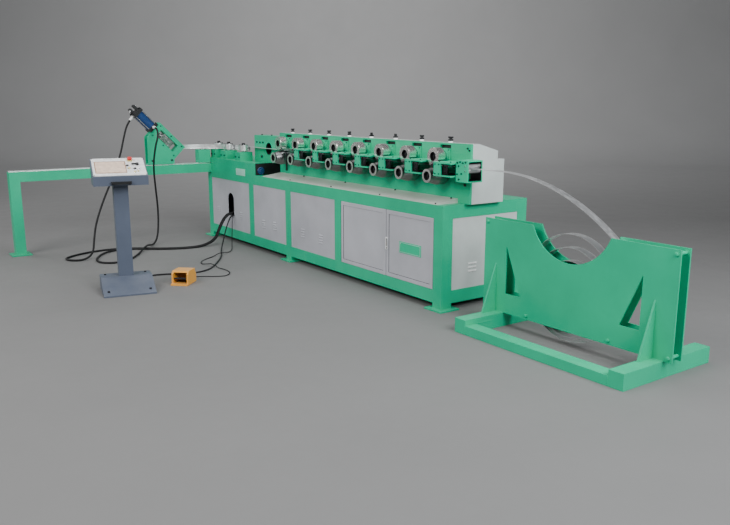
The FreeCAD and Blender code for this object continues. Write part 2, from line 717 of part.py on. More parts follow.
cylinder = tilted("cutter_cylinder")
cap_half = D.cap_side / 2
head_start = D.channel_length
barrel_start = head_start + D.cap_length
rear_start = barrel_start + D.barrel_length
pad_x(cylinder, rectangle(-cap_half, head_start, cap_half, barrel_start), -cap_half, D.cap_side)
barrel_sketch = new_sketch(cylinder, "xy", barrel_start)
ring(barrel_sketch, 0, 0, D.barrel_radius)
barrel = cylinder.newObject("PartDesign::Pad", "Barrel")
barrel.Profile = barrel_sketch
bind(barrel, "Length", D.barrel_length)
pad_x(cylinder, rectangle(-cap_half, rear_start, cap_half, rear_start + D.cap_length), -cap_half,
      D.cap_side)
ear_start = rear_start + D.cap_length
for side in (-1, 1):
    ear_low = D.ear_gap / 2
    ear_edge = (ear_low, ear_low + D.ear_thick) if side > 0 else (-(ear_low + D.ear_thick), -ear_low)
    pad_x(cylinder, rectangle(ear_edge[0], ear_start, ear_edge[1], ear_start + D.ear_length),
          -D.ear_width / 2, D.ear_width)
gland_sketch = new_sketch(cylinder, "xy", head_start)
ring(gland_sketch, 0, 0, D.rod_radius + D.rod_gap)
gland = cylinder.newObject("PartDesign::Pocket", "RodGland")
gland.Profile = gland_sketch
gland.Reversed = True
bind(gland, "Length", D.cap_length + D.blade_stroke)

bracket = new_body("cutter_bracket", cutter_x, 0, 0)
bracket_high = along_channel(D.channel_length, -half)
bracket_low = along_channel(0, -half)
bracket_edge = bracket_high[0] - D.bracket_reach
plinth_top = rail_level + D.bracket_sheet
pad_x(bracket, rectangle(bracket_edge, rail_level, bracket_low[0], plinth_top), -tube / 2, tube)
side_profile = [(bracket_edge, plinth_top), (bracket_low[0], plinth_top), bracket_low, bracket_high,
                (bracket_edge, bracket_high[1] - D.bracket_reach)]
for start in (-thick / 2, thick / 2 - D.bracket_sheet):
    pad_x(bracket, side_profile, start, D.bracket_sheet)

# Coil cradle: base of two beams and two rails, two notched plates, gussets and spacers

cradle_right = D.cradle_left + D.cradle_length
cradle_back = D.cradle_depth - D.cradle_front
beam_side = D.cradle_beam
cross_beams = [box(x, -D.cradle_front, 0, beam_side, D.cradle_depth, beam_side)
               for x in (D.cradle_left, cradle_right - beam_side)]
rail_run = D.cradle_length - 2 * beam_side
long_rails = [box(D.cradle_left + beam_side, y, 0, rail_run, beam_side, D.cradle_rail)
              for y in (-D.cradle_front, cradle_back - beam_side)]
publish("cradle_base", fuse(*cross_beams, *long_rails))

front_plate_y = D.strip_mid - D.plate_space / 2 - D.plate_thick
back_plate_y = D.strip_mid + D.plate_space / 2


def cradle_plate(label, y):
    body = new_body(label)
    pad_y(body, rectangle(D.plate_left, beam_side, D.plate_right, D.plate_top), y, D.plate_thick)
    pocket(body, "xz", lambda sketch: ring(sketch, D.notch_x, D.notch_z, D.notch_radius))
    left = D.plate_left + D.window_from_left
    right = D.plate_right - D.window_from_right
    for corners in ([(left, D.window_low), (left + D.window_foot, D.window_low), (left, D.window_high)],
                    [(right, D.window_low), (right, D.window_high),
                     (right - D.window_foot, D.window_low)]):
        pocket(body, "xz", lambda sketch: outline(sketch, corners))


cradle_plate("cradle_plate_front", front_plate_y)
cradle_plate("cradle_plate_back", back_plate_y)

gussets = []
for x in (D.cradle_left + D.gusset_inset, cradle_right - beam_side + D.gusset_inset):
    for edge, reach in ((front_plate_y, -D.gusset_reach), (back_plate_y + D.plate_thick, D.gusset_reach)):
        gusset = doc.addObject("PartDesign::Body", "Gusset")
        pad_x(gusset, [(edge, beam_side), (edge + reach, beam_side), (edge, beam_side + D.gusset_height)],
              x, D.gusset_thick)
        gussets.append(gusset)

inset = D.spacer_inset
spacer_places = [(D.plate_left + inset, D.plate_top - inset), (D.plate_right - inset, D.plate_top - inset),
                 (D.plate_left + inset, beam_side + inset), (D.plate_right - inset, beam_side + inset),
                 (D.notch_x - D.notch_radius, beam_side + inset),
                 (D.notch_x + D.notch_radius, beam_side + inset)]
spacers = [rod("y", x, front_plate_y + D.plate_thick, z, D.spacer_radius, D.plate_space)
           for x, z in spacer_places]
publish("cradle_braces", group(*gussets, *spacers))

# The sheet strip, from the loose coil through the stands to the bent ring

strip_thick = num(D.strip_thick)
strip_z = num(strip_low + D.strip_thick / 2)
formed_x = num(ring_x + D.formed_length)


def coil_moves():
    """Lists the strip's runs and right-hand turns from the stands to the inner end of the coil."""
    feed_turn = num(D.feed_turn_deg)
    angle = math.radians(feed_turn)
    shoulder = num(D.coil_shoulder)
    outer = num(D.coil_radius)
    far_x = num(D.coil_x) + outer
    feed_arc = (far_x - num(D.feed_end) - shoulder * (1 - math.sin(angle))) / math.sin(angle)
    far_z = strip_z - feed_arc * (1 - math.cos(angle)) - shoulder * math.cos(angle)
    moves = [("run", num(D.feed_end) - formed_x), ("turn", feed_arc, feed_turn)]
    moves.append(("turn", shoulder, 90 - feed_turn))
    moves += [("run", far_z - outer - num(D.coil_low)), ("turn", outer, 90)]
    for turn in range(int(num(D.coil_turns))):
        low = num(D.coil_low) + turn * num(D.coil_low_step)
        top = num(D.coil_low) + 2 * (outer - num(D.coil_slack)) - turn * num(D.coil_top_step)
        moves += [("turn", (top - low) / 2, 180)]
        moves += [("turn", (top - low - num(D.coil_low_step)) / 2, 180)]
    return moves


def strip_side(moves, offset):
    """Follows the moves at a distance outside the strip's middle and gives the edges."""
    x, z, heading = formed_x, strip_z, 0.0
    edges = []

    def at(px, pz, angle):
        return Vector(px - offset * math.sin(angle), 0, pz + offset * math.cos(angle))

    for move in moves:
        start = at(x, z, heading)
        if move[0] == "run":
            x += move[1] * math.cos(heading)
            z += move[1] * math.sin(heading)
            edges.append(Part.LineSegment(start, at(x, z, heading)).toShape())
            continue
        radius, turn = move[1], math.radians(move[2])
        cx = x + radius * math.sin(heading)
        cz = z - radius * math.cos(heading)
        points = []
        for part_turn in (turn / 2, turn):
            angle = heading - part_turn
            points.append((cx - radius * math.sin(angle), cz + radius * math.cos(angle), angle))
        edges.append(Part.Arc(start, at(*points[0]), at(*points[1])).toShape())
        x, z, heading = points[1]
    return edges


def coil_solid():
    moves = coil_moves()
    outer = strip_side(moves, strip_thick / 2)
    inner = strip_side(moves, -strip_thick / 2)
    ends = [Part.LineSegment(outer[0].Vertexes[0].Point, inner[0].Vertexes[0].Point).toShape(),
            Part.LineSegment(outer[-1].Vertexes[-1].Point, inner[-1].Vertexes[-1].Point).toShape()]
    loop = Part.Wire(Part.__sortEdges__(outer + inner + ends))
    solid = Part.Face(loop).extrude(Vector(0, num(D.strip_width), 0))
    solid.translate(Vector(0, num(strip_front), 0))
    return solid


def ring_solid():
    """The bent angle section: a straight length, then an arc about the ring's centre."""
    mid, half = num(D.strip_mid), strip_thick / 2
    low, high = num(lip_z), strip_z + half
    inner = mid - half - num(D.lip_width)
    corners = [Vector(0, y, z) for y, z in ((inner, low), (mid + half, low), (mid + half, high),
                                           (mid - half, high), (mid - half, low + strip_thick),
                                           (inner, low + strip_thick), (inner, low))]
    section = Part.Face(Part.makePolygon(corners))
    section.translate(Vector(num(ring_x), 0, 0))
    straight = section.extrude(Vector(num(D.formed_length), 0, 0))
    curved = section.revolve(Vector(num(ring_x), num(ring_y), 0), Vector(0, 0, 1), num(D.ring_sweep_deg))
    return straight.fuse(curved)


strip = doc.addObject("Part::Feature", "Strip")
strip.Shape = coil_solid().fuse(ring_solid()).removeSplitter()
publish("sheet_strip", strip)

# Operator's console, turned towards the machine

turn = D.console_turn_deg
slope = D.box_slope_deg
console_turned = Rotation(Vector(0, 0, 1), -num(turn))


def console_point(ahead, across):
    """Gives the machine X and Y of a point measured from the console's post."""
    return (-D.console_x + ahead * cosine(turn) + across * sine(turn),
            -D.console_y - ahead * sine(turn) + across * cosine(turn))


def console_body(label):
    body = new_body(label, -D.console_x, -D.console_y, 0)
    body.Placement.Rotation = Rotation(Vector(0, 0, -1), num(turn))
    bind(body, "Placement.Rotation.Angle", turn)
    return body


stand = console_body("console_stand")
half_width = D.plinth_width / 2
post_half = D.post_side / 2
plinth_flat = post_half + D.foot_thick
pad_y(stand, [(-D.plinth_behind, 0), (D.plinth_ahead, 0), (D.plinth_ahead, D.plinth_front),
              (plinth_flat, D.plinth_back), (-D.plinth_behind, D.plinth_back)], -half_width, D.plinth_width)
post_sketch = new_sketch(stand, "xy", D.plinth_back)
outline(post_sketch, rectangle(-post_half, -post_half, post_half, post_half))
post_pad = stand.newObject("PartDesign::Pad", "Post")
post_pad.Profile = post_sketch
bind(post_pad, "Length", D.box_low - D.plinth_back)

console_box = console_body("console_box")
box_depth = D.box_ahead + D.box_behind
box_back = D.box_front + box_depth * sine(slope) / cosine(slope)
pad_y(console_box, [(-D.box_behind, D.box_low), (D.box_ahead, D.box_low), (D.box_ahead, D.box_front),
                    (-D.box_behind, box_back)], -D.box_width / 2, D.box_width)

handle_low = D.box_low + D.handle_bar / 2
handle_side = D.handle_width / 2
bar = D.handle_bar
for left in (-handle_side, handle_side - bar):
    pad_y(console_box, rectangle(D.box_ahead, handle_low, D.box_ahead + D.handle_reach, handle_low + bar),
          left, bar)
pad_y(console_box, rectangle(D.box_ahead + D.handle_reach - bar / 2, handle_low,
                        D.box_ahead + D.handle_reach, handle_low + bar), -handle_side, D.handle_width)


def panel_body(label):
    """A body on the sloping panel: X runs down it, Z stands off it."""
    x, y = console_point(D.box_ahead, Size(0, "0"))
    body = new_body(label, x, y, D.box_front)
    body.Placement.Rotation = console_turned * Rotation(Vector(0, 1, 0), num(slope))
    return body


def add_pad(body, offset, length, draw):
    sketch = new_sketch(body, "xy", offset)
    draw(sketch)
    feature = body.newObject("PartDesign::Pad", "Pad")
    feature.Profile = sketch
    bind(feature, "Length", length)


panel = panel_body("console_panel")
panel_length = box_depth / cosine(slope) - D.panel_inset
edge = D.box_width / 2 - D.panel_inset
add_pad(panel, 0, D.panel_thick, lambda sketch: outline(
    sketch, rectangle(-panel_length, -edge, -D.panel_inset, edge)))
add_pad(panel, D.panel_thick, D.screen_proud, lambda sketch: outline(
    sketch, rectangle(-D.screen_high, -D.screen_left, -D.screen_low, D.screen_right)))
add_pad(panel, D.panel_thick, D.stop_collar, lambda sketch: ring(
    sketch, -D.stop_up, D.stop_across, D.stop_collar_radius))
pocket(panel, "xy", lambda sketch: ring(sketch, -D.stop_up, D.stop_across, D.stem_radius + D.stem_gap),
       D.stop_collar, D.panel_thick, True)

stop = panel_body("stop_button")
stop_low = D.panel_thick + D.stop_travel + D.seat_gap
head_low = stop_low + D.stop_collar
add_pad(stop, stop_low, head_low - stop_low, lambda sketch: ring(
    sketch, -D.stop_up, D.stop_across, D.stem_radius))
add_pad(stop, head_low, D.stop_head, lambda sketch: ring(sketch, -D.stop_up, D.stop_across, D.stop_radius))

knob = panel_body("selector_knob")
add_pad(knob, D.panel_thick + D.seat_gap, D.knob_height, lambda sketch: ring(
    sketch, -D.knob_up, D.knob_across, D.knob_radius))
lever_half = D.knob_lever_width / 2
knob_lever_low = D.panel_thick + D.seat_gap + D.knob_height - D.knob_lever_height
add_pad(knob, knob_lever_low, D.knob_lever_height, lambda sketch: outline(
    sketch, rectangle(-D.knob_up - lever_half, D.knob_across - D.knob_lever,
                      -D.knob_up + lever_half, D.knob_across)))

# Foot switch: a hooded base with a sprung pedal


def switch_body(label):
    body = new_body(label, -D.switch_x, -D.switch_y, 0)
    body.Placement.Rotation = Rotation(Vector(0, 0, -1), num(D.switch_turn_deg))
    bind(body, "Placement.Rotation.Angle", D.switch_turn_deg)
    return body


hood = switch_body("foot_switch_hood")
reach = D.switch_depth / 2
shell = D.switch_wall
brow = D.switch_brow
pad_y(hood, [(-reach, 0), (reach, 0), (reach, shell), (brow, shell), (brow, D.switch_height - 2 * shell),
             (brow - 2 * shell, D.switch_height), (-brow, D.switch_height), (-reach, D.switch_height / 2)],
      -D.switch_width / 2, D.switch_width)
inner_half = D.switch_width / 2 - shell
mouth_depth = brow + D.switch_mouth_end
pocket(hood, "yz", lambda sketch: outline(
    sketch, rectangle(-inner_half, shell, inner_half, D.switch_height - shell)), mouth_depth, brow, False)

pedal = switch_body("foot_pedal")
pivot_x = brow - mouth_depth + D.pedal_pin + D.pedal_gap
pedal_half = inner_half - D.pedal_gap
pedal_end = pivot_x + D.pedal_length
pad_y(pedal, [(pivot_x, D.pedal_pivot_z - D.pedal_pin), (pedal_end, D.pedal_pivot_z + D.pedal_rise),
              (pedal_end, D.pedal_pivot_z + D.pedal_rise + D.pedal_thick),
              (pivot_x, D.pedal_pivot_z + D.pedal_pin)], -pedal_half, 2 * pedal_half)
pin_sketch = new_sketch(pedal, "xz", inner_half - D.seat_gap)
ring(pin_sketch, pivot_x, D.pedal_pivot_z, D.pedal_pin)
pivot_pin = pedal.newObject("PartDesign::Pad", "PivotPin")
pivot_pin.Profile = pin_sketch
pivot_pin.Reversed = True
bind(pivot_pin, "Length", 2 * (inner_half - D.seat_gap))

# Cords: points in the machine's coordinates, each run and arc laid by eye from the photo

CORDS = {
    "hose_rear": (D.hose_thick, [
        (-4190, -874.39, 1402.54), (-4190, -940, 1336.93), (-4160, -1000, 1180), (-4070, -1075, 1000),
        (-3960, -1200, 780), (-3860, -1345, 560), (-3760, -1470, 330), (-3660, -1530, 165),
        (-3570, -1570, 50), (-3478, -1675, 10.5), (-3512, -1800, 10.5), (-3642, -1838, 10.5),
        (-3770, -1720, 10.5), (-3875, -1510, 10.5), (-3905, -1290, 10.5), (-3820, -1060, 10.5),
        (-3650, -860, 10.5), (-3530, -620, 10.5), (-3530, -400, 10.5), (-3590, -230, 60),
        (-3622, -165, 180), (-3640, -95, 285), (-3645, -20, 335), (-3645, 70, 335)]),
    "hose_head": (D.hose_thick, [
        (-4130, -671, 1284), (-4030, -671, 1284), (-3950, -685, 1205), (-3945, -730, 1080),
        (-4000, -745, 860), (-4050, -715, 620), (-4080, -690, 380), (-4070, -700, 180), (-4010, -745, 50),
        (-3900, -830, 10.5), (-3810, -900, 30), (-3765, -940, 38), (-3695, -985, 38), (-3635, -1030, 30),
        (-3520, -1110, 10.5), (-3330, -1230, 10.5), (-3190, -1350, 10.5), (-3160, -1480, 10.5),
        (-3230, -1580, 10.5), (-3360, -1600, 10.5), (-3510, -1550, 10.5), (-3680, -1460, 10.5),
        (-3800, -1335, 10.5), (-3830, -1180, 10.5), (-3750, -1030, 10.5), (-3598, -850, 10.5),
        (-3495, -620, 10.5), (-3495, -400, 10.5), (-3555, -230, 60), (-3587, -165, 180), (-3603, -95, 285),
        (-3605, -20, 335), (-3605, 70, 335)]),
    "console_cable": (D.console_cable_thick, [
        (-2198.84, -1524.57, 60), (-2269.27, -1509.6, 60), (-2370, -1465, 7.5), (-2430, -1370, 7.5),
        (-2410, -1250, 7.5), (-2330, -1120, 7.5), (-2300, -980, 7.5), (-2360, -840, 7.5),
        (-2490, -730, 7.5), (-2650, -620, 7.5), (-2820, -510, 7.5), (-3005, -418, 7.5), (-3197, -337, 7.5),
        (-3370, -240, 40), (-3480, -160, 130), (-3550, -85, 240), (-3588, -20, 318), (-3588, 70, 318)]),
    "pedal_cable": (D.pedal_cable_thick, [
        (-2075.53, -1162.06, 20), (-2104.3, -1134.27, 20), (-2150, -1080, 8), (-2140, -1000, 4.5),
        (-2070, -920, 4.5), (-2030, -830, 4.5), (-2090, -750, 4.5), (-2200, -710, 4.5), (-2310, -715, 4.5),
        (-2400, -735, 6), (-2450, -742, 24), (-2500, -752, 27), (-2550, -765, 20), (-2640, -790, 4.5),
        (-2730, -770, 4.5), (-2820, -700, 4.5), (-2880, -620, 4.5), (-2930, -540, 6), (-2955, -490, 20),
        (-2975, -440, 24), (-3000, -385, 18), (-3050, -310, 4.5), (-3140, -240, 4.5), (-3238, -190, 10),
        (-3335, -145, 38), (-3420, -102, 98), (-3486, -66, 170), (-3524, -46, 246), (-3574, -14, 330),
        (-3574, 70, 330)]),
}


def cord_shape(points, thick):
    """A round cord along straight runs joined by tangent arcs; also gives its least bend radius."""
    places = [Vector(*point) for point in points]
    edges = []
    start = places[0]
    least = math.inf
    for before, corner, after in zip(places, places[1:], places[2:]):
        back = (corner - before).normalize()
        ahead = (after - corner).normalize()
        half_turn = back.getAngle(ahead) / 2
        reach = ARC_SHARE * min((corner - before).Length, (after - corner).Length)
        bend = reach / math.tan(half_turn)
        least = min(least, bend)
        inward = (ahead - back).normalize()
        enter = corner - back * reach
        leave = corner + ahead * reach
        middle = corner + inward * (bend / math.cos(half_turn) - bend)
        edges.append(Part.LineSegment(start, enter).toShape())
        edges.append(Part.Arc(enter, middle, leave).toShape())
        start = leave
    edges.append(Part.LineSegment(start, places[-1]).toShape())
    spine = Part.Wire(edges)
    section = Part.Wire(Part.makeCircle(thick / 2, places[0], places[1] - places[0]))
    return spine.makePipeShell([section], True, True), spine.Length, least


for label, (thickness, points) in CORDS.items():
    cord = doc.addObject("Part::Feature", "Cord")
    cord.Shape, cord_length, least_bend = cord_shape(points, num(thickness))
    publish(label, cord)
    print(f"{label}: length {cord_length:.0f} mm, least bend radius {least_bend:.0f} mm")


def finish_document():
    """Recomputes, checks every object and writes one file for each sub-part."""
    doc.recompute()
    for item in doc.Objects:
        if "Invalid" in item.State or "Error" in item.State:
            raise RuntimeError(f"{item.Label} did not compute: {item.State}")
    os.makedirs("parts", exist_ok=True)
    for item in nodes:
        if item.Shape.isNull() or not item.Shape.isValid():
            raise RuntimeError(f"{item.Label} has no valid shape")
        item.Shape.exportStep(f"parts/{item.Label}.step")
        bounds = item.Shape.BoundBox
        print(item.Label, len(item.Shape.Solids), round(item.Shape.Volume / 1e6, 3),
              [round(value) for value in (bounds.XMin, bounds.YMin, bounds.ZMin,
                                          bounds.XMax, bounds.YMax, bounds.ZMax)])


finish_document()
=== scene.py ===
import math
import random

import bmesh
import bpy
from mathutils import Matrix, Vector


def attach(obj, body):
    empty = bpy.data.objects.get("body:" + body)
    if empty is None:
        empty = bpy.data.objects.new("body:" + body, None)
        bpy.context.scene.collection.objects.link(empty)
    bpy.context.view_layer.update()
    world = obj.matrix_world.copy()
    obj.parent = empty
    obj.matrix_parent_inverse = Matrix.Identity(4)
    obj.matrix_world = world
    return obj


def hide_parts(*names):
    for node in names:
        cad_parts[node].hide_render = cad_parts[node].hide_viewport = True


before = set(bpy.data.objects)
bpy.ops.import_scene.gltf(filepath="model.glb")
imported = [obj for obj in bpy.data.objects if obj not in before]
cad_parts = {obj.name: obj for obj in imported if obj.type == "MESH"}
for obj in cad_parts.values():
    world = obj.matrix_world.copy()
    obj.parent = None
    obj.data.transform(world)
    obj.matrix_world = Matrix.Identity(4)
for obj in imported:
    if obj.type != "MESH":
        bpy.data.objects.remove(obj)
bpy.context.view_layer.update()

# Lengths are in metres. Places are given from the floor under the cabinet's right front corner.

CORNER = Vector((1.2175, 0.655, 0))
MACHINE = "machine"
PITCH = 0.347
FIRST_STAND = -0.232
STANDS = [FIRST_STAND - PITCH * index for index in range(8)]
ROLL_NUMBERS = range(1, len(STANDS) + 1)
LOWER_AXIS = 1.004
UPPER_AXIS = 1.146
LOWER_NOSE = 0.030
UPPER_NOSE = 0.088
SOCKET_RADIUS = 0.034
PLATE_FACE = 0.215
TRANSFER_FACE = 0.200
TRANSFER_HOLE = (-3.07, 1.068, 0.065)
BEAM_X = -4.19
BEND_ROLLS = (("bend_roll_drive", -3.47, 0.0977), ("bend_roll_inner", -3.85, 0.0977),
              ("bend_roll_push", -4.1408, 0.1078))
ENTRY_ROLLERS = (("entry_roller_lower", 1.059), ("entry_roller_upper", 1.0955))
CRADLE_PLATES = (0.106, 0.204)
CRADLE_ENDS = ((0.437, 0.537), (1.697, 1.797))
RIGHT, FRONT, BACK, UP = (1, 0, 0), (0, -1, 0), (0, 1, 0), (0, 0, 1)


def at(x, y, z):
    """A place given from the cabinet's corner, in the frame that all pieces share."""
    return Vector((x, y, z)) + CORNER


def add_object(name, data):
    """A new object in the scene."""
    made = bpy.data.objects.new(name, data)
    bpy.context.scene.collection.objects.link(made)
    return made


# The cutter, the console and the foot switch each stand in a turned frame of their own.

cutter_frame = Matrix.Translation((BEAM_X, -0.378, 0.991)) @ Matrix.Rotation(math.pi / 4, 4, "X")
to_cutter = cutter_frame.inverted()
PANEL_SLOPE = math.radians(24.5)
console_frame = Matrix.Translation((-2.142, -1.69, 0)) @ Matrix.Rotation(-math.radians(12), 4, "Z")
panel_frame = console_frame @ Matrix.Translation((0.15, 0, 0.96)) @ Matrix.Rotation(PANEL_SLOPE, 4, "Y")
to_console = console_frame.inverted()
to_panel = panel_frame.inverted()
switch_frame = Matrix.Translation((-2.0, -1.235, 0)) @ Matrix.Rotation(-math.radians(44), 4, "Z")


# Materials


class Nodes:
    """A short way to build a material from shader nodes."""

    def __init__(self, name):
        self.material = bpy.data.materials.new(name)
        self.material.use_nodes = True
        self.tree = self.material.node_tree
        self.shader = self.tree.nodes["Principled BSDF"]

    def add(self, kind, **settings):
        node = self.tree.nodes.new(kind)
        for key, value in settings.items():
            if key in node.inputs:
                node.inputs[key].default_value = value
            else:
                setattr(node, key, value)
        return node

    def join(self, source, target):
        self.tree.links.new(source, target)

    def place(self, scale=(1, 1, 1)):
        """Object coordinates, stretched by scale."""
        coordinates = self.add("ShaderNodeTexCoord")
        mapping = self.add("ShaderNodeMapping")
        mapping.inputs["Scale"].default_value = scale
        self.join(coordinates.outputs["Object"], mapping.inputs["Vector"])
        return mapping.outputs["Vector"]

    def noise(self, scale, detail=4.0, roughness=0.55, stretch=(1, 1, 1)):
        node = self.add("ShaderNodeTexNoise", Scale=scale, Detail=detail, Roughness=roughness)
        self.join(self.place(stretch), node.inputs["Vector"])
        return node.outputs["Fac"]

    def ramp(self, source, low, high, start=0.0, end=1.0):
        """Maps source between start and end to a value between low and high."""
        node = self.add("ShaderNodeMapRange")
        node.inputs["From Min"].default_value = start
        node.inputs["From Max"].default_value = end
        node.inputs["To Min"].default_value = low
        node.inputs["To Max"].default_value = high
        self.join(source, node.inputs["Value"])
        return node.outputs["Result"]

    def math(self, operation, first, second=0):
        node = self.add("ShaderNodeMath", operation=operation)
        for socket, value in zip(node.inputs, (first, second)):
            if isinstance(value, (int, float)):
                socket.default_value = value
            else:
                self.join(value, socket)
        return node.outputs["Value"]

    def mix(self, factor, first, second):
        """Mixes two colours, each a tuple or an output."""
        node = self.add("ShaderNodeMix", data_type="RGBA")
        self.join(factor, node.inputs["Factor"])
        for socket, colour in ((node.inputs[6], first), (node.inputs[7], second)):
            if isinstance(colour, tuple):
                socket.default_value = (*colour, 1)
            else:
                self.join(colour, socket)
        return node.outputs[2]

    def bump(self, height, strength, distance=0.001, after=None):
        node = self.add("ShaderNodeBump", Strength=strength, Distance=distance)
        self.join(height, node.inputs["Height"])
        if after is not None:
            self.join(after, node.inputs["Normal"])
        return node.outputs["Normal"]

    def finish(self, colour=None, roughness=None, normal=None):
        for key, output in (("Base Color", colour), ("Roughness", roughness), ("Normal", normal)):
            if output is not None:
                self.join(output, self.shader.inputs[key])
        return self.material


def shade(colour, factor):
    return tuple(min(1.0, channel * factor) for channel in colour)


def enamel(name, colour, roughness=0.35, wear=(0.55, 0.55, 0.52), dust=0.25, coat=0.25):
    """Sprayed paint: slight orange peel, uneven gloss, settled dust and worn edges."""
    nodes = Nodes(name)
    nodes.shader.inputs["Coat Weight"].default_value = coat
    nodes.shader.inputs["Coat Roughness"].default_value = 0.2
    nodes.shader.inputs["Specular IOR Level"].default_value = 0.28
    cloudy = nodes.noise(2.3, 5.0)
    tint = nodes.mix(nodes.ramp(cloudy, 0, 1, 0.3, 0.7), shade(colour, 0.88), shade(colour, 1.1))
    normals = nodes.add("ShaderNodeNewGeometry")
    upward = nodes.add("ShaderNodeSeparateXYZ")
    nodes.join(normals.outputs["Normal"], upward.inputs["Vector"])
    lying = nodes.ramp(upward.outputs["Z"], 0, dust, 0.6, 1.0)
    patchy = nodes.ramp(nodes.noise(9.0, 6.0, 0.65), 0.2, 1.0, 0.35, 0.65)
    dusty = nodes.mix(nodes.math("MULTIPLY", lying, patchy), tint, (0.45, 0.45, 0.42))
    edge = nodes.add("ShaderNodeBevel", samples=4, Radius=0.0028)
    product = nodes.add("ShaderNodeVectorMath", operation="DOT_PRODUCT")
    nodes.join(edge.outputs["Normal"], product.inputs[0])
    nodes.join(normals.outputs["Normal"], product.inputs[1])
    rim = nodes.ramp(product.outputs["Value"], 1, 0, 0.80, 0.985)
    chips = nodes.ramp(nodes.noise(34.0, 5.0, 0.7), 0, 0.75, 0.50, 0.66)
    worn = nodes.mix(nodes.math("MULTIPLY", rim, chips), dusty, wear)
    gloss = nodes.ramp(nodes.noise(14.0, 5.0, 0.6), roughness - 0.07, roughness + 0.12, 0.3, 0.7)
    peel = nodes.bump(nodes.noise(420.0, 2.0), 0.10, 0.0004)
    dents = nodes.bump(nodes.noise(3.1, 2.0), 0.18, 0.003, peel)
    return nodes.finish(worn, gloss, dents)


def machined(name, colour, roughness=0.22, lines=(6, 180, 6), strength=0.12, stain=0.8):
    """Bare metal with tool marks, fingerprints and a little tarnish."""
    nodes = Nodes(name)
    nodes.shader.inputs["Metallic"].default_value = 1.0
    cloudy = nodes.noise(22.0, 6.0, 0.6)
    tint = nodes.mix(nodes.ramp(cloudy, 0, 1, 0.35, 0.75), colour, shade(colour, stain))
    marks = nodes.noise(1.0, 3.0, 0.5, lines)
    gloss = nodes.ramp(nodes.noise(30.0, 5.0, 0.6), roughness - 0.06, roughness + 0.14, 0.3, 0.7)
    cut = nodes.bump(marks, strength, 0.0006)
    return nodes.finish(tint, gloss, cut)


def turned(name, colour, roughness, axis_height):
    """Metal turned on a lathe: fine rings about each stand's axis at the given height."""
    nodes = Nodes(name)
    nodes.shader.inputs["Metallic"].default_value = 1.0
    split = nodes.add("ShaderNodeSeparateXYZ")
    nodes.join(nodes.place(), split.inputs["Vector"])
    wrap = nodes.add("ShaderNodeMath", operation="WRAP")
    nodes.join(nodes.math("SUBTRACT", split.outputs["X"], CORNER.x + FIRST_STAND), wrap.inputs[0])
    wrap.inputs[1].default_value = PITCH / 2
    wrap.inputs[2].default_value = -PITCH / 2
    upright = nodes.math("SUBTRACT", split.outputs["Z"], axis_height)
    sides = [nodes.math("POWER", side, 2) for side in (wrap.outputs["Value"], upright)]
    radius = nodes.math("SQRT", nodes.math("ADD", *sides))
    outwards = nodes.math("ADD", radius, split.outputs["Y"])
    rings = nodes.add("ShaderNodeTexNoise", noise_dimensions="1D", Scale=1.0, Detail=4.0)
    nodes.join(nodes.math("MULTIPLY", outwards, 900), rings.inputs["W"])
    cloudy = nodes.noise(18.0, 6.0, 0.6)
    tint = nodes.mix(nodes.ramp(cloudy, 0, 1, 0.35, 0.75), colour, shade(colour, 0.75))
    gloss = nodes.ramp(rings.outputs["Fac"], roughness - 0.05, roughness + 0.12, 0.3, 0.7)
    cut = nodes.bump(rings.outputs["Fac"], 0.16, 0.0005)
    return nodes.finish(tint, gloss, cut)


def moulded(name, colour, roughness=0.45, grain=0.12):
    """Moulded plastic with a fine grain and handling marks."""
    nodes = Nodes(name)
    cloudy = nodes.noise(30.0, 4.0)
    tint = nodes.mix(nodes.ramp(cloudy, 0, 1, 0.3, 0.7), shade(colour, 0.85), shade(colour, 1.12))
    gloss = nodes.ramp(nodes.noise(60.0, 4.0), roughness - 0.08, roughness + 0.12, 0.3, 0.7)
    skin = nodes.bump(nodes.noise(900.0, 2.0), grain, 0.0003)
    return nodes.finish(tint, gloss, skin)


def sleeve(name, colour, pitch):
    """Ribbed flexible sleeve on a cord: rings at a fixed pitch along it."""
    nodes = Nodes(name)
    nodes.shader.inputs["Specular IOR Level"].default_value = 0.18
    cloudy = nodes.noise(7.0, 4.0)
    tint = nodes.mix(nodes.ramp(cloudy, 0, 1, 0.35, 0.7), colour, shade(colour, 1.7))
    coordinates = nodes.add("ShaderNodeUVMap")
    split = nodes.add("ShaderNodeSeparateXYZ")
    nodes.join(coordinates.outputs["UV"], split.inputs["Vector"])
    ribs = nodes.math("SINE", nodes.math("MULTIPLY", split.outputs["X"], 2 * math.pi / pitch))
    gloss = nodes.ramp(nodes.noise(25.0, 4.0), 0.42, 0.62, 0.3, 0.7)
    return nodes.finish(tint, gloss, nodes.bump(ribs, 0.5, 0.001))


GREEN = (0.0, 0.46, 0.235)
GREEN_WEAR = (0.30, 0.45, 0.38)
green = enamel("green_enamel", GREEN, 0.36, GREEN_WEAR, 0.05, 0.08)
green_light = enamel("green_enamel_light", shade(GREEN, 1.12), 0.38, GREEN_WEAR, 0.05, 0.08)
lavender = enamel("panel_enamel", (0.44, 0.45, 0.495), 0.42, dust=0.15, coat=0.12)
cover_grey = enamel("cover_enamel", (0.56, 0.61, 0.60), 0.40, dust=0.2)
skirt_grey = enamel("skirt_enamel", (0.56, 0.57, 0.53), 0.42, dust=0.2)
slate = enamel("slate_enamel", (0.085, 0.105, 0.150), 0.42, (0.3, 0.3, 0.3), 0.08, 0.08)
navy = enamel("navy_enamel", (0.012, 0.05, 0.17), 0.25, (0.35, 0.4, 0.45), coat=0.5)
# Painted light: a brightened blue for the drive unit, standing in for light that falls into its shaded
# slot.
lit_drive_blue = enamel("drive_enamel_painted_light", (0.04, 0.07, 0.62), 0.30, coat=0.4)
orange = enamel("orange_enamel", (0.80, 0.36, 0.05), 0.33)
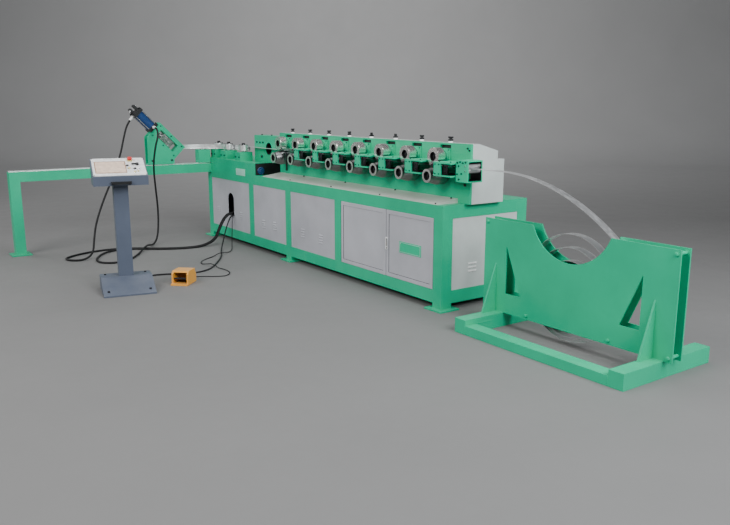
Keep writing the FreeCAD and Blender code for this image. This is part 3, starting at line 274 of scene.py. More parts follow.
black_paint = enamel("black_paint", (0.012, 0.013, 0.015), 0.38, (0.12, 0.12, 0.12), dust=0.12)
mint = enamel("bare_badge", (0.35, 0.72, 0.60), 0.35, coat=0.2)
white_skin = moulded("white_skin", (0.78, 0.80, 0.80), 0.30, 0.05)
peach = moulded("screen_skin", (0.80, 0.62, 0.50), 0.12, 0.02)
bezel_brown = moulded("bezel_skin", (0.34, 0.19, 0.12), 0.35, 0.03)
black_plastic = moulded("black_plastic", (0.012, 0.012, 0.013), 0.42)
red_plastic = moulded("red_plastic", (0.60, 0.012, 0.010), 0.25, 0.05)
yellow_plastic = moulded("yellow_plastic", (0.72, 0.60, 0.25), 0.30, 0.05)
white_plastic = moulded("white_plastic", (0.90, 0.91, 0.91), 0.35, 0.05)
steel = machined("ground_steel", (0.86, 0.88, 0.88), 0.34)
bright_steel = machined("bright_steel", (0.74, 0.75, 0.76), 0.16, strength=0.06, stain=0.9)
dark_steel = machined("black_oxide_steel", (0.045, 0.045, 0.05), 0.40)
sheet_metal = machined("galvanised_sheet", (0.88, 0.89, 0.90), 0.36, (9, 9, 70), 0.06, 0.92)
lower_turned = turned("lower_roll_steel", (0.88, 0.86, 0.83), 0.26, LOWER_AXIS)
lower_drum = turned("lower_drum_steel", (0.23, 0.24, 0.24), 0.30, LOWER_AXIS)
upper_turned = turned("upper_roll_steel", (0.94, 0.92, 0.88), 0.20, UPPER_AXIS)
# Painted shade: a near-black finish for holes, slots, gaps and the insides of boxes, where shade falls.
painted_shade_dark = moulded("painted_shade_black", (0.006, 0.006, 0.007), 0.6)
hose_skin = sleeve("hose_sleeve", (0.010, 0.010, 0.011), 0.006)
cable_skin = sleeve("cable_sleeve", (0.012, 0.012, 0.014), 0.005)


def paint(node, *materials, rule=None):
    """Gives a CAD node its materials; rule picks one per face from the face's centre and normal."""
    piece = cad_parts[node]
    mesh = piece.data
    mesh.materials.clear()
    for material in materials:
        mesh.materials.append(material)
    for face in mesh.polygons:
        face.material_index = rule(face.center - CORNER, face.normal) if rule else 0


def near(value, *levels):
    return any(abs(value - level) < 0.001 for level in levels)


def roll_rule(nose, axis):
    """Picks a roll's bright front ring, its socket painted near-black as painted shade, or the drum behind
    them.
    """
    def rule(centre, normal):
        stand = min(STANDS, key=lambda x: abs(centre.x - x))
        radius = math.hypot(centre.x - stand, centre.z - axis)
        if radius < SOCKET_RADIUS + 0.0005 and centre.y < nose + 0.03:
            return 1
        return 0 if centre.y < nose + 0.004 and normal.y < -0.7 else 2
    return rule


def cylinder_rule(centre, normal):
    """The barrel is blue between its two black caps."""
    local = to_cutter @ centre
    return 0 if 0.432 < local.z < 0.624 and math.hypot(local.x, local.y) < 0.0552 else 1


def panel_rule(centre, normal):
    """White skin, peach screen, yellow collar round the stop button."""
    local = to_panel @ centre
    if local.z < 0.0041:
        return 0
    return 1 if local.y < 0.057 else 2


def fittings_rule(centre, normal):
    """Black screw heads over white studs, bright link bars and the black lever under them."""
    if centre.z > 1.2575 or centre.z < 1.05:
        return 1
    return 2 if centre.z > 1.2 else 0


def drive_rule(centre, normal):
    """Green shelf, black gland block in front, blue gearbox and motor; their blue is painted brighter than
    the gearbox's navy, as painted light, so that it shows in the shaded slot.
    """
    if centre.z < 0.1582:
        return 0
    return 2 if centre.y < 0.115 else 1


def entry_rule(centre, normal):
    """The inner faces of the entry guide, and the rear plate's front faces behind its mouth, are painted
    near-black as painted shade.
    """
    inside = near(centre.z, 0.988, 1.126) or near(centre.y, 0.090)
    return int(inside or (normal.y < -0.9 and centre.y > 0.2))


def transfer_rule(centre, normal):
    """Painted shade: faces whose centres lie within the transfer hole's radius of its axis are painted
    black.
    """
    x, z, radius = TRANSFER_HOLE
    return int(math.hypot(centre.x - x, centre.z - z) < radius + 0.001)


paint("frame_posts", green)
paint("frame_rails", green)
# Painted shade: the head base's faces that look towards +X, at its open end, are painted near-black.
paint("head_base", green, painted_shade_dark, rule=lambda centre, normal: int(normal.x > 0.9))
paint("cabinet_panels", lavender, cover_grey, green,
      rule=lambda centre, normal: 2 if centre.z > 0.79 else int(centre.x > -0.03))
paint("door_left", lavender)
paint("door_right", lavender, white_plastic, green_light,
      rule=lambda centre, normal: 0 if centre.y > 0.0035 else (1 if centre.x < -0.6 else 2))
paint("drive_unit", green, lit_drive_blue, black_paint, rule=drive_rule)
paint("housing_front_plate", green)
# Painted shade: the cover's front-facing faces behind the front plate are painted near-black.
paint("housing_cover", cover_grey, painted_shade_dark,
      rule=lambda centre, normal: int(centre.y < 0.2355 and normal.y < -0.9))
paint("skirt_strip", skirt_grey)
paint("bearing_blocks", green)
# Painted shade: the guide boxes' inner faces are painted near-black.
paint("guide_boxes", green_light, painted_shade_dark,
      rule=lambda centre, normal: int(near(centre.z, 1.022, 1.104) or near(centre.y, 0.044)))
paint("stand_fittings", bright_steel, black_paint, white_plastic, rule=fittings_rule)
paint("entry_guide", green_light, painted_shade_dark, rule=entry_rule)
paint("transfer_block", green, black_paint, rule=transfer_rule)
for number in ROLL_NUMBERS:
    paint(f"lower_roll_{number}", lower_turned, painted_shade_dark, lower_drum,
          rule=roll_rule(LOWER_NOSE, LOWER_AXIS))
    paint(f"upper_roll_{number}", upper_turned, painted_shade_dark, upper_turned,
          rule=roll_rule(UPPER_NOSE, UPPER_AXIS))
for name, *_ in ENTRY_ROLLERS + BEND_ROLLS:
    paint(name, steel)
paint("bending_slides", green)
paint("runout_beam", green, steel, rule=lambda centre, normal: int(centre.z > 0.8605))
paint("exit_block", green)
paint("cutter_channel", green)
paint("cutter_blade", bright_steel)
paint("cutter_cylinder", navy, black_paint, rule=cylinder_rule)
paint("cutter_bracket", green)
for name in ("cradle_base", "cradle_plate_front", "cradle_plate_back", "cradle_braces"):
    paint(name, green)
paint("sheet_strip", sheet_metal)
paint("console_stand", slate)
paint("console_box", slate, black_paint, rule=lambda centre, normal: int((to_console @ centre).x > 0.1505))
paint("console_panel", white_skin, peach, yellow_plastic, rule=panel_rule)
paint("stop_button", red_plastic)
paint("selector_knob", black_plastic)
paint("foot_switch_hood", orange)
paint("foot_pedal", black_plastic)

# Rounded edges on the sheet and plate work, so that they catch the light

SOFT_EDGES = {
    "frame_posts": 0.004, "frame_rails": 0.004, "runout_beam": 0.004, "head_base": 0.003,
    "cabinet_panels": 0.002, "door_left": 0.0025, "door_right": 0.0025, "housing_cover": 0.006,
    "skirt_strip": 0.002, "guide_boxes": 0.0015, "entry_guide": 0.0015, "transfer_block": 0.006,
    "bending_slides": 0.003, "exit_block": 0.004, "cutter_channel": 0.003, "cutter_cylinder": 0.003,
    "cutter_bracket": 0.0015, "cradle_base": 0.004, "cradle_plate_front": 0.002, "cradle_plate_back": 0.002,
    "cradle_braces": 0.001, "console_stand": 0.003, "console_box": 0.005, "console_panel": 0.0012,
    "stop_button": 0.002, "selector_knob": 0.0015, "foot_switch_hood": 0.009, "foot_pedal": 0.002,
    "bearing_blocks": 0.002, "stand_fittings": 0.001, "cutter_blade": 0.001,
}


for name, width in SOFT_EDGES.items():
    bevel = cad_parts[name].modifiers.new("soft_edges", "BEVEL")
    bevel.width = width
    bevel.segments = 2
    bevel.limit_method = "ANGLE"
    bevel.angle_limit = math.radians(40)

# Mesh helpers


def new_piece(name, shape, materials, body=MACHINE, smooth_angle=35):
    """Turns a bmesh, built from the cabinet's corner, into a piece that rides on a body."""
    bmesh.ops.transform(shape, matrix=Matrix.Translation(CORNER), verts=shape.verts)
    bmesh.ops.recalc_face_normals(shape, faces=shape.faces)
    mesh = bpy.data.meshes.new(name)
    shape.to_mesh(mesh)
    shape.free()
    for material in materials:
        mesh.materials.append(material)
    piece = add_object(name, mesh)
    mesh.shade_smooth()
    mesh.set_sharp_from_angle(angle=math.radians(smooth_angle))
    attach(piece, body)


def facing(place, direction, spin=0.0):
    """A frame at a place whose Z axis runs along direction."""
    turn = Vector(direction).normalized().to_track_quat("Z", "Y").to_matrix().to_4x4()
    return Matrix.Translation(Vector(place)) @ turn @ Matrix.Rotation(spin, 4, "Z")


def lathe(shape, rings, where, material=0, segments=24):
    """Adds a closed turned form. Each ring is (radius, height) or (radius, height, sides)."""
    loops = []
    for radius, height, *corners in rings:
        sides = corners[0] if corners else 0
        loop = []
        for step in range(segments):
            angle = 2 * math.pi * step / segments
            reach = radius
            if sides:
                sector = math.pi / sides
                reach = radius * math.cos(sector) / math.cos((angle % (2 * sector)) - sector)
            point = Vector((reach * math.cos(angle), reach * math.sin(angle), height))
            loop.append(shape.verts.new(where @ point))
        loops.append(loop)
    for low, high in zip(loops, loops[1:]):
        for step in range(segments):
            following = (step + 1) % segments
            face = shape.faces.new((low[step], low[following], high[following], high[step]))
            face.material_index = material
    for loop in (loops[0][::-1], loops[-1]):
        shape.faces.new(loop).material_index = material


def block(shape, low, high, where=Matrix(), material=0, bevel=0.0):
    """Adds a box between two corners, with its edges bevelled."""
    made = bmesh.ops.create_cube(shape, size=1.0)["verts"]
    size = Vector(high) - Vector(low)
    middle = (Vector(high) + Vector(low)) / 2
    placing = where @ Matrix.Translation(middle) @ Matrix.Diagonal((*size, 1))
    bmesh.ops.transform(shape, matrix=placing, verts=made)
    for face in {face for vert in made for face in vert.link_faces}:
        face.material_index = material
    if bevel:
        edges = list(dict.fromkeys(edge for vert in made for edge in vert.link_edges))
        bmesh.ops.bevel(shape, geom=edges, offset=bevel, segments=2, affect="EDGES", profile=0.6)


def socket_screw(shape, place, direction, radius, sunk=0.0):
    """A hexagon socket screw: round head with a chamfer and its socket."""
    where = facing(place, direction)
    high = radius * 1.15 - sunk
    lathe(shape, [(radius, -0.001), (radius, high - radius * 0.15), (radius * 0.86, high),
                  (radius * 0.56, high, 6), (radius * 0.54, high - radius * 0.7, 6)], where)


def corner_reach(across):
    """How far a hexagon's corners are from its middle."""
    return across / 2 / math.cos(math.pi / 6)


def hex_bolt(shape, place, direction, across, spin=0.3):
    """A hexagon bolt head with its chamfer, on a washer."""
    where = facing(place, direction, spin)
    reach = corner_reach(across)
    washer = across * 0.09
    high = washer + across * 0.36
    lathe(shape, [(across * 0.62, -0.001), (across * 0.62, washer)], where)
    lathe(shape, [(reach, washer, 6), (reach, high, 6), (across * 0.45, high + across * 0.05)], where)


def hexagon_nut(shape, place, direction, across, high, spin=0.0, material=0):
    """A plain hexagon nut or head with chamfered ends."""
    where = facing(place, direction, spin)
    reach = corner_reach(across)
    edge = high * 0.14
    lathe(shape, [(across * 0.46, 0), (reach, edge, 6), (reach, high - edge, 6), (across * 0.46, high)],
          where, material)


def countersunk(shape, place, direction, radius):
    """A flush screw head with its socket."""
    where = facing(place, direction)
    lathe(shape, [(radius, -0.001), (radius, 0.0004), (radius * 0.5, 0.0004, 6),
                  (radius * 0.46, -0.0008, 6)], where)


# Screws and bolts of the machine body. A bolt's own place often gives its spin, so no two stand alike.

SKIRT_RISE = Vector((0, -0.031, 0.211)).normalized()
SKIRT_SCREWS = ((-2.324, -2.294), (-1.580, -1.551), (-0.827, -0.808), (-0.127, -0.104))
ENTRY_SCREWS = ((0.056, 1.118), (0.085, 1.124), (0.114, 1.118), (0.143, 1.124), (0.070, 1.094),
                (0.056, 1.034), (0.100, 1.040), (0.075, 0.998))
TRANSFER_SCREWS = ((-3.338, 1.132), (-3.267, 1.129), (-3.196, 1.132))
GUIDE_SCREWS = ((0.096, 1.098), (0.138, 1.098), (0.096, 1.028), (0.138, 1.028))
screws = bmesh.new()
for rear_x, lip_x in SKIRT_SCREWS:
    socket_screw(screws, (rear_x, 0.190, 0.8313), SKIRT_RISE, 0.0075)
    socket_screw(screws, (lip_x, 0.016, 0.8058), SKIRT_RISE, 0.0065)
for x, z in ((0.016, 1.212), (0.036, 1.198)):
    socket_screw(screws, (x, PLATE_FACE, z), FRONT, 0.0065)
for x, z in TRANSFER_SCREWS:
    socket_screw(screws, (x, TRANSFER_FACE, z), FRONT, 0.0085)
for x in (-3.34, -3.12):
    socket_screw(screws, (x, 0.265, 1.205), UP, 0.009)
for x, z in ENTRY_SCREWS:
    socket_screw(screws, (x, 0.080, z), FRONT, 0.0055)
for stand in STANDS[:-1]:
    for step, z in GUIDE_SCREWS:
        socket_screw(screws, (stand + step, 0.032, z), FRONT, 0.0045)
    for step in (0.110, 0.235):
        socket_screw(screws, (stand + step, 0.060, 1.116), UP, 0.0055)
for stand in STANDS:
    for side in (-1, 1):
        for z in (1.098, 1.194):
            socket_screw(screws, (stand + side * 0.050, 0.201, z), FRONT, 0.0045)
for name, x, y in BEND_ROLLS:
    for side in (-0.042, 0.042):
        socket_screw(screws, (x + side, y - 0.075, 0.968), FRONT, 0.008)
for y in (-0.048, -0.107):
    socket_screw(screws, (BEAM_X, y, 1.020), UP, 0.008)
for index in range(8):
    countersunk(screws, (BEAM_X, -2.13 + 0.25 * index, 0.872), UP, 0.009)
for side in (-1, 1):
    for along in (0.035, 0.20, 0.365):
        socket_screw(screws, cutter_frame @ Vector((0.05, side * 0.070, along)), RIGHT, 0.0065)
new_piece("machine_screws", screws, [dark_steel])

bolts = bmesh.new()
hex_bolt(bolts, (-0.004, PLATE_FACE, 0.942), FRONT, 0.019)
hex_bolt(bolts, (-3.229, TRANSFER_FACE, 0.980), FRONT, 0.024)
for y in (-0.475, -0.700):
    hex_bolt(bolts, (-4.140, y, 0.915), RIGHT, 0.019, 0.2)
for stand in STANDS:
    hexagon_nut(bolts, (stand, 0.265, 1.2572), UP, 0.036, 0.014, stand)
    block(bolts, (-0.019, -0.009, 0), (0.019, 0.009, 0.013),
          Matrix.Translation((stand, 0.265, 1.2785)) @ Matrix.Rotation(0.5 + stand, 4, "Z"), bevel=0.002)
new_piece("machine_bolts", bolts, [black_paint])

CRADLE_BOLTS = ((0.365, 0.726), (1.824, 0.726), (0.365, 0.126), (1.824, 0.126), (0.752, 0.126),
                (1.418, 0.126))
cradle_bolts = bmesh.new()
for x, z in CRADLE_BOLTS:
    for y, out in zip(CRADLE_PLATES, (FRONT, BACK)):
        hex_bolt(cradle_bolts, (x, y, z), out, 0.022, x)
new_piece("cradle_bolts", cradle_bolts, [green])

# Black fingers between the rolls: partly a black guide piece, partly painted shadow in the gap between the
# upper and lower rolls. Dark steel guide plates with their screws stand beside them.
fingers = bmesh.new()
for stand in STANDS[:-1]:
    block(fingers, (stand + 0.034, 0.040, 1.0835), (stand + 0.0785, 0.074, 1.1005), bevel=0.003)
    where = facing((stand + 0.0345, 0.057, 1.092), (-1, 0, 0))
    lathe(fingers, [(0.0130, -0.010), (0.0130, 0.002), (0.0105, 0.006), (0.0050, 0.0075)], where)
    block(fingers, (stand + 0.160, 0.048, 1.030), (stand + 0.214, 0.052, 1.096), material=1, bevel=0.001)
    for z in (1.046, 1.080):
        socket_screw(fingers, (stand + 0.187, 0.048, z), FRONT, 0.006)
new_piece("guide_fingers_and_painted_shadow", fingers, [black_paint, dark_steel])

# Nuts that turn with their rolls

for number, stand in zip(ROLL_NUMBERS, STANDS):
    for name, axis, nose in (("lower", LOWER_AXIS, LOWER_NOSE), ("upper", UPPER_AXIS, UPPER_NOSE)):
        nut = bmesh.new()
        seat = nose + 0.0279
        where = facing((stand, seat, axis), FRONT)
        lathe(nut, [(0.022, -0.001), (0.022, 0.002)], where)
        hexagon_nut(nut, (stand, seat - 0.002, axis), FRONT, 0.030, 0.013, 0.4 * number)
        lathe(nut, [(0.008, 0.012), (0.008, 0.019), (0.0068, 0.020)], where, segments=20)
        new_piece(f"{name}_roll_nut_{number}", nut, [dark_steel], f"{name}_roll_{number}")
for name, x, y in BEND_ROLLS:
    nut = bmesh.new()
    lathe(nut, [(0.033, 1.0915), (0.033, 1.0975), (0.031, 1.0985)], Matrix.Translation((x, y, 0)), 1, 32)
    hexagon_nut(nut, (x, y, 1.0985), UP, 0.032, 0.018)
    for turn in range(4):
        angle = math.pi / 4 + turn * math.pi / 2
        place = (x + 0.0435 * math.cos(angle), y + 0.0435 * math.sin(angle), 1.092)
        socket_screw(nut, place, UP, 0.0065)
    new_piece(f"{name}_nut", nut, [dark_steel, bright_steel], name)
for name, z in ENTRY_ROLLERS:
    nut = bmesh.new()
    where = facing((0.140, 0.0805, z), FRONT)
    lathe(nut, [(0.0058, -0.012), (0.0058, 0.004), (0.005, 0.005)], where, segments=20)
    new_piece(f"{name}_pin", nut, [bright_steel], name)

# Louvres, slots, bare badges and the doors' raised borders

LOUVRES = ((-3.969, 0.316), (-3.386, 0.316), (-2.850, 0.293), (-2.607, 0.303), (-2.042, 0.309),
           (-1.713, 0.298))
LOUVRE_SECTION = ((-0.001, 0.0), (-0.007, 0.002), (-0.0075, 0.0035), (-0.001, 0.013))
LOUVRE_ENDS = ((-0.036, 0.15), (-0.030, 1.0), (0.030, 1.0), (0.036, 0.15))


def louvre(shape, x, z):
    """One pressed louvre: its section swells between two flattened ends, and its lower face is painted
    near-black as painted shade.
    """
    rings = [[shape.verts.new((x + side, 0.003 + (y + 0.001) * swell, z + rise))
              for y, rise in LOUVRE_SECTION] for side, swell in LOUVRE_ENDS]
    for left, right in zip(rings, rings[1:]):
        for step in range(4):
            following = (step + 1) % 4
            face = shape.faces.new((left[step], left[following], right[following], right[step]))
            face.material_index = int(step == 0)
    shape.faces.new(rings[0][::-1])
    shape.faces.new(rings[-1])


louvres = bmesh.new()
for x, low in LOUVRES:
    for row in range(4):
        louvre(louvres, x, low - 0.033 + 0.024 * row)
new_piece("panel_louvres", louvres, [lavender, painted_shade_dark], smooth_angle=25)

# White slot trims, each with a near-black strip below it as painted shadow.
slots = bmesh.new()
for z in (0.278, 0.308, 0.338):
    block(slots, (-0.0045, 0.268, z - 0.0060), (-0.0005, 0.354, z + 0.0060), bevel=0.0015)
    block(slots, (-0.0040, 0.274, z - 0.0085), (-0.0015, 0.348, z - 0.0062), material=1, bevel=0.0004)
new_piece("end_slots", slots, [white_plastic, painted_shade_dark])


def badge(name, body, left, right, low, high, thick=0.0):
    """A bare badge: its plate, unless CAD has it, a raised border and four rivets."""
    shape = bmesh.new()
    if thick:
        block(shape, (left, -thick, low), (right, 0.001, high), bevel=0.0008)
    edge = 0.006
    line = edge + 0.0035
    for x_low, x_high, z_low, z_high in (
            (left + edge, right - edge, low + edge, low + line),
            (left + edge, right - edge, high - line, high - edge),
            (left + edge, left + line, low + edge, high - edge),
            (right - line, right - edge, low + edge, high - edge)):
        block(shape, (x_low, -thick - 0.0012, z_low), (x_high, -thick + 0.0006, z_high), bevel=0.0004)
    for x in (left + 0.017, right - 0.017):
        for z in (low + 0.017, high - 0.017):
            lathe(shape, [(0.0028, -0.0006), (0.0026, 0.0008), (0.0014, 0.0016)],
                  facing((x, -thick, z), FRONT), 2, 16)
    new_piece(name, shape, [mint, green_light, bright_steel], body)


badge("door_badge_trim", "door_right", -0.520, -0.250, 0.374, 0.464)
badge("head_badge", MACHINE, -3.472, -3.252, 0.773, 0.846, 0.0022)


DOOR_EDGE = ((0.001, 0.0041), (0.001, 0.0012), (0.004, -0.0004), (0.034, 0.0004), (0.036, 0.0041))


def raised_border(name, body, left, right, low, high):
    """The folded edge of a door leaf: four mitred bars, with a near-black painted shadow line in the gap
    round the flat middle.
    """
    shape = bmesh.new()
    loops = []
    for inset, y in DOOR_EDGE:
        corners = ((left + inset, low + inset), (right - inset, low + inset),
                   (right - inset, high - inset), (left + inset, high - inset))
        loops.append([shape.verts.new((x, y, z)) for x, z in corners])
    for ring, (outer, inner) in enumerate(zip(loops, loops[1:] + loops[:1])):
        for step in range(4):
            following = (step + 1) % 4
            face = shape.faces.new((outer[step], outer[following], inner[following], inner[step]))
            face.material_index = int(ring == 3)
    new_piece(name, shape, [lavender, painted_shade_dark], body, 20)


raised_border("door_border_left", "door_left", -1.365, -0.6995, 0.1503, 0.6997)
raised_border("door_border_right", "door_right", -0.6945, -0.105, 0.1503, 0.6997)
lock = bmesh.new()
block(lock, (-0.6810, -0.0128, 0.400), (-0.6690, -0.0098, 0.466), bevel=0.0010)
lathe(lock, [(0.0055, -0.001), (0.0055, 0.0025), (0.0048, 0.0030), (0.0030, 0.0030), (0.0028, 0.0010)],
      facing((-0.675, -0.010, 0.386), FRONT), 1)
new_piece("door_lock_trim", lock, [bright_steel, dark_steel], "door_right")

# Rear screws of the housing cover and the seams between its sheets

COVER_SCREW = ((0.0085, -0.0005), (0.0085, 0.0012), (0.0070, 0.0030), (0.0030, 0.0036, 6),
               (0.0028, 0.0020, 6))
cover_trim = bmesh.new()
for x in (-2.78, -2.18, -1.58, -0.98, -0.38, 0.0):
    for y, z, out in ((0.525, 1.127, UP), (0.560, 0.840, BACK), (0.560, 1.090, BACK)):
        lathe(cover_trim, COVER_SCREW, facing((x, y, z), out), 1)
for x in (-2.10, -1.37, -0.65):
    block(cover_trim, (x - 0.0012, 0.5598, 0.803), (x + 0.0012, 0.5608, 1.124), bevel=0.0002)
    block(cover_trim, (x - 0.0012, 0.4930, 1.1266), (x + 0.0012, 0.5570, 1.1276), bevel=0.0002)
new_piece("cover_trim", cover_trim, [dark_steel, bright_steel])

# The gearbox that shows in the open end of the bending head

gearbox = bmesh.new()
gear_axis = facing((-3.0055, 0.066, 0.846), RIGHT)
lathe(gearbox, [(0.040, 0), (0.040, 0.006), (0.037, 0.009), (0.020, 0.010), (0.020, 0.014), (0.018, 0.016)],
      gear_axis, 0, 40)
for turn in range(6):
    angle = turn * math.pi / 3
    place = gear_axis @ Vector((0.030 * math.cos(angle), 0.030 * math.sin(angle), 0.009))
    socket_screw(gearbox, place, RIGHT, 0.0032)
new_piece("head_gearbox", gearbox, [navy])

# Cutter's cylinder: port fittings, tie rods, gland and rear pin


def cutter_point(x, across, along):
    """A place from the cutter channel's lower end, along the channel's slope."""
    return cutter_frame @ Vector((x, across, along))


CUTTER_UP = Vector((0, -1, 1)).normalized()
cylinder_trim = bmesh.new()
for x in (-0.047, 0.047):
    for across in (-0.047, 0.047):
        where = facing(cutter_point(x, across, 0.432), CUTTER_UP)
        lathe(cylinder_trim, [(0.006, 0), (0.006, 0.192)], where, segments=16)
        hexagon_nut(cylinder_trim, cutter_point(x, across, 0.6605), CUTTER_UP, 0.019, 0.011, x, 1)
for side in (-1, 1):
    where = facing(cutter_point(0, side * 0.0355, 0.700), (0, side, side))
    lathe(cylinder_trim, [(0.014, 0.0035), (0.014, 0.007), (0.0085, 0.007), (0.0085, 0.011),
                          (0.0072, 0.012)], where)
where = facing(cutter_point(0, 0, 0.3955), -CUTTER_UP)
lathe(cylinder_trim, [(0.024, -0.001), (0.024, 0.0005), (0.0145, 0.0005)], where)
new_piece("cylinder_trim", cylinder_trim, [bright_steel, dark_steel])

FITTINGS = (((BEAM_X, -0.87439, 1.40254), (0, -1, -1)), ((-4.130, -0.671, 1.284), RIGHT))
fittings = bmesh.new()
for place, direction in FITTINGS:
    where = facing(place, direction)
    lathe(fittings, [(0.0150, -0.001), (0.0150, 0.003), (0.0172, 0.004, 6), (0.0172, 0.014, 6),
                     (0.0140, 0.015), (0.0140, 0.019), (0.0172, 0.020, 6), (0.0172, 0.030, 6),
                     (0.0135, 0.031), (0.0128, 0.050), (0.0110, 0.054)], where)
new_piece("port_fittings", fittings, [white_plastic])

# Weld beads at the cradle's gussets and plates


def weld_bead(shape, start, finish, radius, seed):
    """A rippled bead from start to finish."""
    start, finish = Vector(start), Vector(finish)
    run = (finish - start).length
    where = facing(start, finish - start)
    count = int(run / (radius * 0.55))
    chance = random.Random(seed)
    rings = [(radius * 0.4, 0)]
    for step in range(1, count):
        swell = 1.0 if step % 2 else 0.84
        rings.append((radius * swell * chance.uniform(0.94, 1.06), run * step / count))
    rings.append((radius * 0.4, run))
    lathe(shape, rings, where, 0, 8)


welds = bmesh.new()
for (start, finish), outer in zip(CRADLE_ENDS, (0.437, 1.797)):
    for count, y in enumerate(CRADLE_PLATES):
        weld_bead(welds, (start, y, 0.100), (finish, y, 0.100), 0.0035, outer + count)
for x in (0.537, 1.697):
    for y_start, y_end in ((-0.150, 0.0), (0.330, 0.480)):
        weld_bead(welds, (x, y_start, 0.062), (x, y_end, 0.062), 0.0030, x + y_end)
for y in (-0.250, -0.150, 0.480, 0.580):
    weld_bead(welds, (0.537, y, 0.004), (0.537, y, 0.060), 0.0028, y)
    weld_bead(welds, (1.697, y, 0.004), (1.697, y, 0.060), 0.0028, y + 3)
new_piece("cradle_welds", welds, [green], smooth_angle=60)

# Console and foot switch


def console_point(x, y, z):
    """A place from the middle of the console's plinth, with x towards the operator."""
    return console_frame @ Vector((x, y, z))


def panel_point(up, across, height):
    """A place on the sloped panel: up the slope, across it from the middle, above its skin."""
    return panel_frame @ Vector((-up, across, height))


PANEL_TOP = 0.004
# Places up and across the panel, radius and material: black, yellow, black and bright push buttons
# and two small yellow lamps
BUTTONS = ((0.164, 0.070, 0.0125, 0), (0.118, 0.080, 0.0125, 2), (0.108, 0.124, 0.0125, 0),
           (0.107, 0.152, 0.0125, 1), (0.055, 0.117, 0.0090, 2), (0.064, 0.143, 0.0090, 2))
panel_out = (panel_frame.to_3x3() @ Vector((0, 0, 1))).normalized()
ahead = (console_frame.to_3x3() @ Vector((1, 0, 0))).normalized()
controls = bmesh.new()
for up, across, radius, material in BUTTONS:
    where = facing(panel_point(up, across, PANEL_TOP), panel_out)
    lathe(controls, [(radius * 1.22, -0.0005), (radius * 1.22, 0.0022), (radius * 1.08, 0.0034),
                     (radius * 0.96, 0.0034)], where, 1, 28)
    lathe(controls, [(radius * 0.90, 0.0020), (radius * 0.90, 0.0072), (radius * 0.78, 0.0088),
                     (radius * 0.40, 0.0082)], where, material, 28)
for up in (0.012, 0.294):
    for across in (-0.202, 0.202):
        socket_screw(controls, panel_point(up, across, PANEL_TOP), panel_out, 0.0038, 0.0014)
new_piece("console_controls", controls, [black_plastic, bright_steel, yellow_plastic])

# The screen's border lies on the panel, whose own X runs down the slope.
TOP, BOTTOM, LEFT_SIDE, RIGHT_SIDE = -0.240, -0.046, -0.190, 0.056
BORDER = 0.007
bezel = bmesh.new()
for low_x, low_y, high_x, high_y in (
        (TOP, LEFT_SIDE, TOP + BORDER, RIGHT_SIDE),
        (BOTTOM - BORDER, LEFT_SIDE, BOTTOM, RIGHT_SIDE),
        (TOP + BORDER, LEFT_SIDE, BOTTOM - BORDER, LEFT_SIDE + BORDER),
        (TOP + BORDER, RIGHT_SIDE - BORDER, BOTTOM - BORDER, RIGHT_SIDE)):
    block(bezel, (low_x, low_y, 0.0065), (high_x, high_y, 0.0082), panel_frame, bevel=0.0007)
new_piece("screen_bezel", bezel, [bezel_brown])

# The plinth's top is flat under the post and falls towards the operator.
PLINTH_TOP, PLINTH_TOE = 0.112, 0.012
PLINTH_FLAT, PLINTH_END = 0.0705, 0.330
PLINTH_FALL = (PLINTH_TOP - PLINTH_TOE) / (PLINTH_END - PLINTH_FLAT)
plinth_out = (console_frame.to_3x3() @ Vector((PLINTH_FALL, 0, 1))).normalized()
console_bolts = bmesh.new()
for y in (-0.165, 0.165):
    place = console_point(0.275, y, PLINTH_TOP - PLINTH_FALL * (0.275 - PLINTH_FLAT))
    hex_bolt(console_bolts, place, plinth_out, 0.017, y)
    hex_bolt(console_bolts, console_point(-0.045, y, PLINTH_TOP), UP, 0.017, y)
for y in (-0.066, 0.066):
    where = facing(console_point(0.184, y, 0.907), ahead)
    lathe(console_bolts, [(0.0095, -0.001), (0.0095, 0.002), (0.0080, 0.0035), (0.0045, 0.0035, 6),
                          (0.0043, 0.0010, 6)], where)
new_piece("console_bolts", console_bolts, [dark_steel])

PEDAL_START = Vector((-0.048, 0, 0.036))
PEDAL_RUN = Vector((0.120, 0, 0.027))
pedal_ribs = bmesh.new()
pedal_up = Vector((-PEDAL_RUN.z, 0, PEDAL_RUN.x)).normalized()
for rib in range(6):
    middle = PEDAL_START + PEDAL_RUN * (0.36 + 0.105 * rib)
    where = switch_frame @ facing(middle, pedal_up)
    block(pedal_ribs, (-0.046, -0.0022, -0.0006), (0.046, 0.0022, 0.0020), where, bevel=0.0006)
new_piece("pedal_ribs", pedal_ribs, [black_plastic], "foot_pedal")

# Cords and the strain reliefs that they leave the housings by

